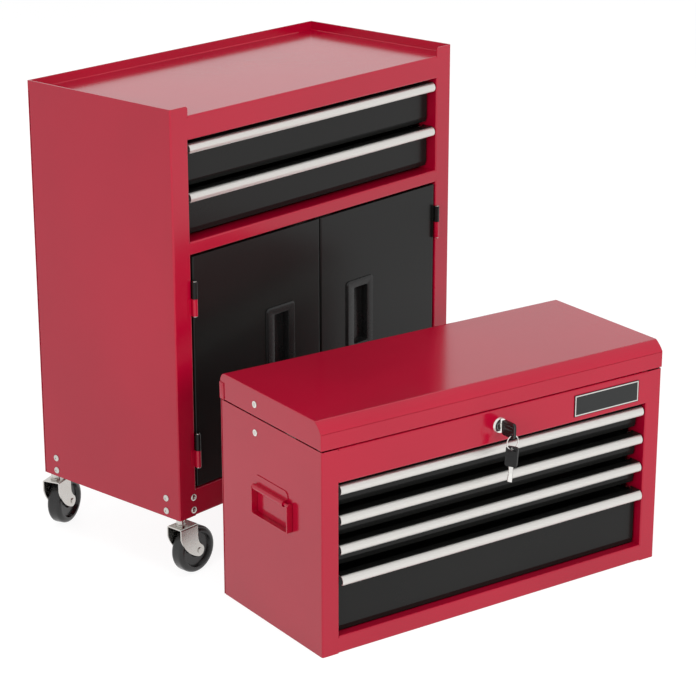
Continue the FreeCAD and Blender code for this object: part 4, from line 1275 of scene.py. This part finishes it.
@dataclass
class StayRivets:
    """The domed rivet heads that the lid's two stays show outside, each with its dimple."""

    place: Place
    radius: float = 5.05 * MM
    sides: int = 28
    rise: float = 1.9 * MM
    dimple: float = 1.5 * MM
    dimple_depth: float = 0.6 * MM
    dome: float = 0.9 * MM
    dome_steps: int = 4

    def _head(self, side: Side, end: float, middle: Vector) -> bpy.types.Object:
        """Models one head.

        Args:
            side: The side of the box that it is on.
            end: The X at which the node's own rivet ends.
            middle: A point of the rivet's axis.

        Returns:
            The head, in the place's own frame.
        """
        centre = Vector((end - side.sign * self.rise / 2, middle.y, middle.z))
        head = cylinder("head", centre, self.radius, self.rise, self.sides)
        choose(head, Part.FACE, facing(Way.X, side.sign))
        bpy.ops.mesh.inset(thickness=self.radius - self.dimple)
        bpy.ops.transform.translate(value=(-side.sign * self.dimple_depth, 0.0, 0.0))
        bpy.ops.object.mode_set(mode="OBJECT")
        soften(head, self.dome, self.dome_steps)
        return head

    def build(self, paint: Paintbox) -> list[bpy.types.Object]:
        """Models the two heads on the lid and the two on the box.

        Args:
            paint: Gives the finish.

        Returns:
            The pair that rides the lid's links and the pair that rides the box's.
        """
        pairs = []
        for body, node, joint in (("stay_upper", "lid_stay_upper_links", "stay_head_pivot"),
                                  ("stay_lower", "lid_stay_lower_links", "stay_foot_pivot")):
            middle = self.place.matrix.inverted() @ Vector(joint_of(joint)["pos_m"])
            ends = self.place.extent(node)
            heads = [self._head(side, end.x, middle) for side, end in zip(Side, ends)]
            pair = joined(heads, f"{body}_rivets")
            settle(pair, self.place.matrix)
            paint.paint(pair, Slot.CHROME, self.place.turn)
            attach(pair, body)
            pairs.append(pair)
        return pairs


@dataclass
class BoxTrims:
    """The raised frame line on the nameplate and the folded tabs at the lid's rear corners."""

    place: Place
    line_width: float = 1.6 * MM
    line_inset: float = 0.8 * MM
    line_height: float = 0.25 * MM
    line_sink: float = 0.1 * MM
    line_edge: float = 0.08 * MM
    tab_width: float = 11 * MM
    tab_height: float = 25 * MM
    tab_rise: float = 2.4 * MM
    tab_stand_off: float = 0.3 * MM
    tab_thickness: float = 0.8 * MM
    tab_fold: float = 2.5 * MM
    tab_margin: float = 0.2 * MM
    tab_edge: float = 0.2 * MM

    def _plate_line(self, paint: Paintbox) -> bpy.types.Object:
        """Models a bright raised line round the nameplate, whose field stays bare.

        Args:
            paint: Gives the finish.

        Returns:
            The line.
        """
        low, high = self.place.extent("box_nameplate")
        edge = Vector((self.line_inset, 0.0, self.line_inset))
        outer_low = Vector((low.x, low.y - self.line_height, low.z)) + edge
        outer_high = Vector((high.x, low.y + self.line_sink, high.z)) - edge
        line = block("nameplate_line", outer_low, outer_high)
        step = Vector((self.line_width, 0.0, self.line_width))
        depth = Vector((0.0, PAST, 0.0))
        bare = block("field", outer_low + step - depth, outer_high - step + depth)
        combine(line, bare, Change.CUT)
        soften(line, self.line_edge)
        settle(line, self.place.matrix)
        paint.paint(line, Slot.PLATED_PULL, self.place.turn)
        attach(line, "top_box")
        return line

    def _lid_tab(self, side: Side, paint: Paintbox) -> bpy.types.Object:
        """Models the tab of the lid's back that is folded round one end and stands a little off it.

        Args:
            side: The end of the lid.
            paint: Gives the finish.

        Returns:
            The tab.
        """
        low, high = self.place.extent("box_lid")
        foot = self.place.extent("box_side_left")[1].z + self.tab_rise
        top = foot + self.tab_height
        back = high.y - self.tab_margin
        face = high.x if side is Side.RIGHT else low.x
        root = face - side.sign * self.tab_margin
        inner = face + side.sign * self.tab_stand_off
        outer = face + side.sign * (self.tab_stand_off + self.tab_thickness)
        tab = block(f"lid_tab_{side}", Vector((min(inner, outer), back - self.tab_width, foot)),
                    Vector((max(inner, outer), back, top)))
        fold = block("fold", Vector((min(root, outer), back - self.tab_fold, foot)),
                     Vector((max(root, outer), back, top)))
        combine(tab, fold, Change.UNITE)
        soften(tab, self.tab_edge)
        settle(tab, self.place.matrix)
        paint.paint(tab, Slot.RED_PAINT, self.place.turn)
        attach(tab, "box_cover")
        return tab

    def build(self, paint: Paintbox) -> list[bpy.types.Object]:
        """The line and the two tabs."""
        return [self._plate_line(paint), *[self._lid_tab(side, paint) for side in Side]]


@dataclass(frozen=True)
class Lamp:
    """A soft lamp: where it stands, its size and its power."""

    name: str
    spot: tuple[float, float, float]
    size: float
    power: float


@dataclass
class Studio:
    """The pale floor, the even surroundings, the lamps and the camera."""

    aim: tuple[float, float, float] = (0.0, -0.25, 0.35)
    floor_reach: float = 40.0
    floor_color: Color = (0.86, 0.86, 0.86)
    floor_glow: float = 0.75
    glow: float = 1.2
    ambient: float = 0.42
    camera_spot: tuple[float, float, float] = (-2.459, -2.3766, 1.4166)
    camera_azimuth: float = -48.547
    camera_pitch: float = 18.87
    camera_far: float = 100.0
    focal_pixels: float = 2283.3
    image_pixels: float = 696.0
    sensor: float = 36.0
    lamps: tuple[Lamp, ...] = field(default_factory=lambda: (
        Lamp("front_lamp", (-0.3, -3.6, 1.5), 1.8, 54.0),
        Lamp("left_lamp", (-3.4, -1.2, 1.3), 1.8, 42.0),
        Lamp("top_lamp", (-0.4, -0.4, 3.4), 1.6, 22.0),
        Lamp("back_lamp", (1.6, 3.0, 1.8), 1.8, 26.0)))

    def _seen(self, graph: Graph) -> Wire:
        """Tells rays that show the background from those that only light the object.

        Args:
            graph: The graph of the floor or of the world.

        Returns:
            1 where a ray comes from the camera, off a gloss or through a clear thing, and else 0.
        """
        path = graph.add("ShaderNodeLightPath")
        camera, glossy, through = (
            graph.wire(path, name)
            for name in ("Is Camera Ray", "Is Glossy Ray", "Is Transmission Ray"))
        return camera.larger(glossy.larger(through))

    def _floor(self) -> None:
        """Lays a wide pale floor that looks white and keeps a soft shadow."""
        deselect()
        bpy.ops.mesh.primitive_plane_add(size=self.floor_reach, location=(0.0, 0.0, 0.0))
        floor = bpy.context.object
        floor.name = "studio_floor"
        settle(floor)
        material = bpy.data.materials.new("studio_floor")
        material.use_nodes = True
        graph = Graph(material.node_tree)
        lit = graph.add("ShaderNodeBsdfDiffuse", {}, {"Color": opaque(self.floor_color)})
        glow = graph.add("ShaderNodeEmission", {}, {"Color": opaque(WHITE), "Strength": self.glow})
        mixed = graph.add("ShaderNodeMixShader", {}, {
            0: self._seen(graph) * self.floor_glow, 1: graph.wire(lit), 2: graph.wire(glow)})
        graph.add("ShaderNodeOutputMaterial", {}, {"Surface": graph.wire(mixed)})
        material.cycles.emission_sampling = "NONE"
        floor.data.materials.append(material)

    def _surroundings(self) -> None:
        """Makes a white surround, which lights the object at its ambient level."""
        world = bpy.data.worlds.new("studio")
        bpy.context.scene.world = world
        world.use_nodes = True
        world.cycles.sampling_method = "NONE"
        graph = Graph(world.node_tree)
        strength = self._seen(graph) * (1.0 - self.ambient) + self.ambient
        background = graph.add("ShaderNodeBackground", {}, {
            "Color": opaque(WHITE), "Strength": strength})
        graph.add("ShaderNodeOutputWorld", {}, {"Surface": graph.wire(background)})

    def _light(self, lamp: Lamp) -> None:
        """Sets up one area lamp that looks at the aim and doesn't show in the gloss.

        Args:
            lamp: What is set up.
        """
        data = bpy.data.lights.new(lamp.name, "AREA")
        data.shape = "DISK"
        data.size = lamp.size
        data.energy = lamp.power
        light = bpy.data.objects.new(lamp.name, data)
        light.location = lamp.spot
        look = Vector(self.aim) - Vector(lamp.spot)
        light.rotation_euler = look.to_track_quat("-Z", "Y").to_euler()
        light.visible_glossy = False
        bpy.context.scene.collection.objects.link(light)

    def _camera(self) -> None:
        """Sets up the camera at the photograph's place and angle."""
        data = bpy.data.cameras.new("camera")
        data.sensor_fit = "HORIZONTAL"
        data.sensor_width = self.sensor
        data.lens = self.focal_pixels / self.image_pixels * self.sensor
        data.clip_end = self.camera_far
        camera = bpy.data.objects.new("camera", data)
        camera.location = self.camera_spot
        camera.rotation_euler = Euler((math.radians(90.0 - self.camera_pitch), 0.0,
                                       math.radians(self.camera_azimuth)))
        bpy.context.scene.collection.objects.link(camera)
        bpy.context.scene.camera = camera

    def build(self) -> None:
        """Sets up the floor, the surroundings, the lamps and the camera."""
        self._floor()
        self._surroundings()
        for lamp in self.lamps:
            self._light(lamp)
        self._camera()
        bpy.context.scene.view_settings.view_transform = "Standard"


@dataclass
class Dresser:
    """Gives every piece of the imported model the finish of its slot."""

    place: Place
    box_bodies: tuple[str, ...] = (
        "top_box", "box_cover", "stay_lower", "stay_upper", "lock_turning", "key", "ring",
        "left_bail", "right_bail", "box_tray_1", "box_tray_2", "box_tray_3", "box_tray_4")

    def build(self, paint: Paintbox) -> int:
        """Paints the nodes.

        Args:
            paint: Gives the materials.

        Returns:
            How many nodes were painted.
        """
        slots = {part["node"]: Slot(part["material_slot"]) for part in frame["record"]["subparts"]}
        in_box = {node for body in self.box_bodies
                  for node in frame["record"]["behaviour"]["bodies"][body]}
        for name, node in frame["nodes"].items():
            paint.paint(node, slots[name], self.place.turn if name in in_box else 0.0)
        return len(frame["nodes"])


def main() -> None:
    """Sets up the studio and dresses the model, piece by piece."""
    logging.basicConfig(level=logging.INFO, format="%(name)s: %(message)s")
    Studio().build()
    paint = Paintbox(FINISHES)
    box, cabinet = Place.of_top_box(), Place(Matrix())
    log.info("%d nodes painted", Dresser(box).build(paint))
    assemblies = (
        DoorPull(Side.LEFT), DoorPull(Side.RIGHT), BracketBolts(), Keys(box), Lid(box),
        BoxTrims(box),
        FrameWelds("top_box_welds", "top_box", box, ("box_front_panel", "box_floor")),
        FrameWelds("trolley_welds", "trolley", cabinet,
                   ("trolley_top_tray", "trolley_mid_rail", "trolley_base")),
        StayRivets(box))
    for assembly in assemblies:
        for piece in assembly.build(paint):
            log.info("%s: %d faces", piece.name, len(piece.data.polygons))
    deselect()


if __name__ == "__main__":
    main()
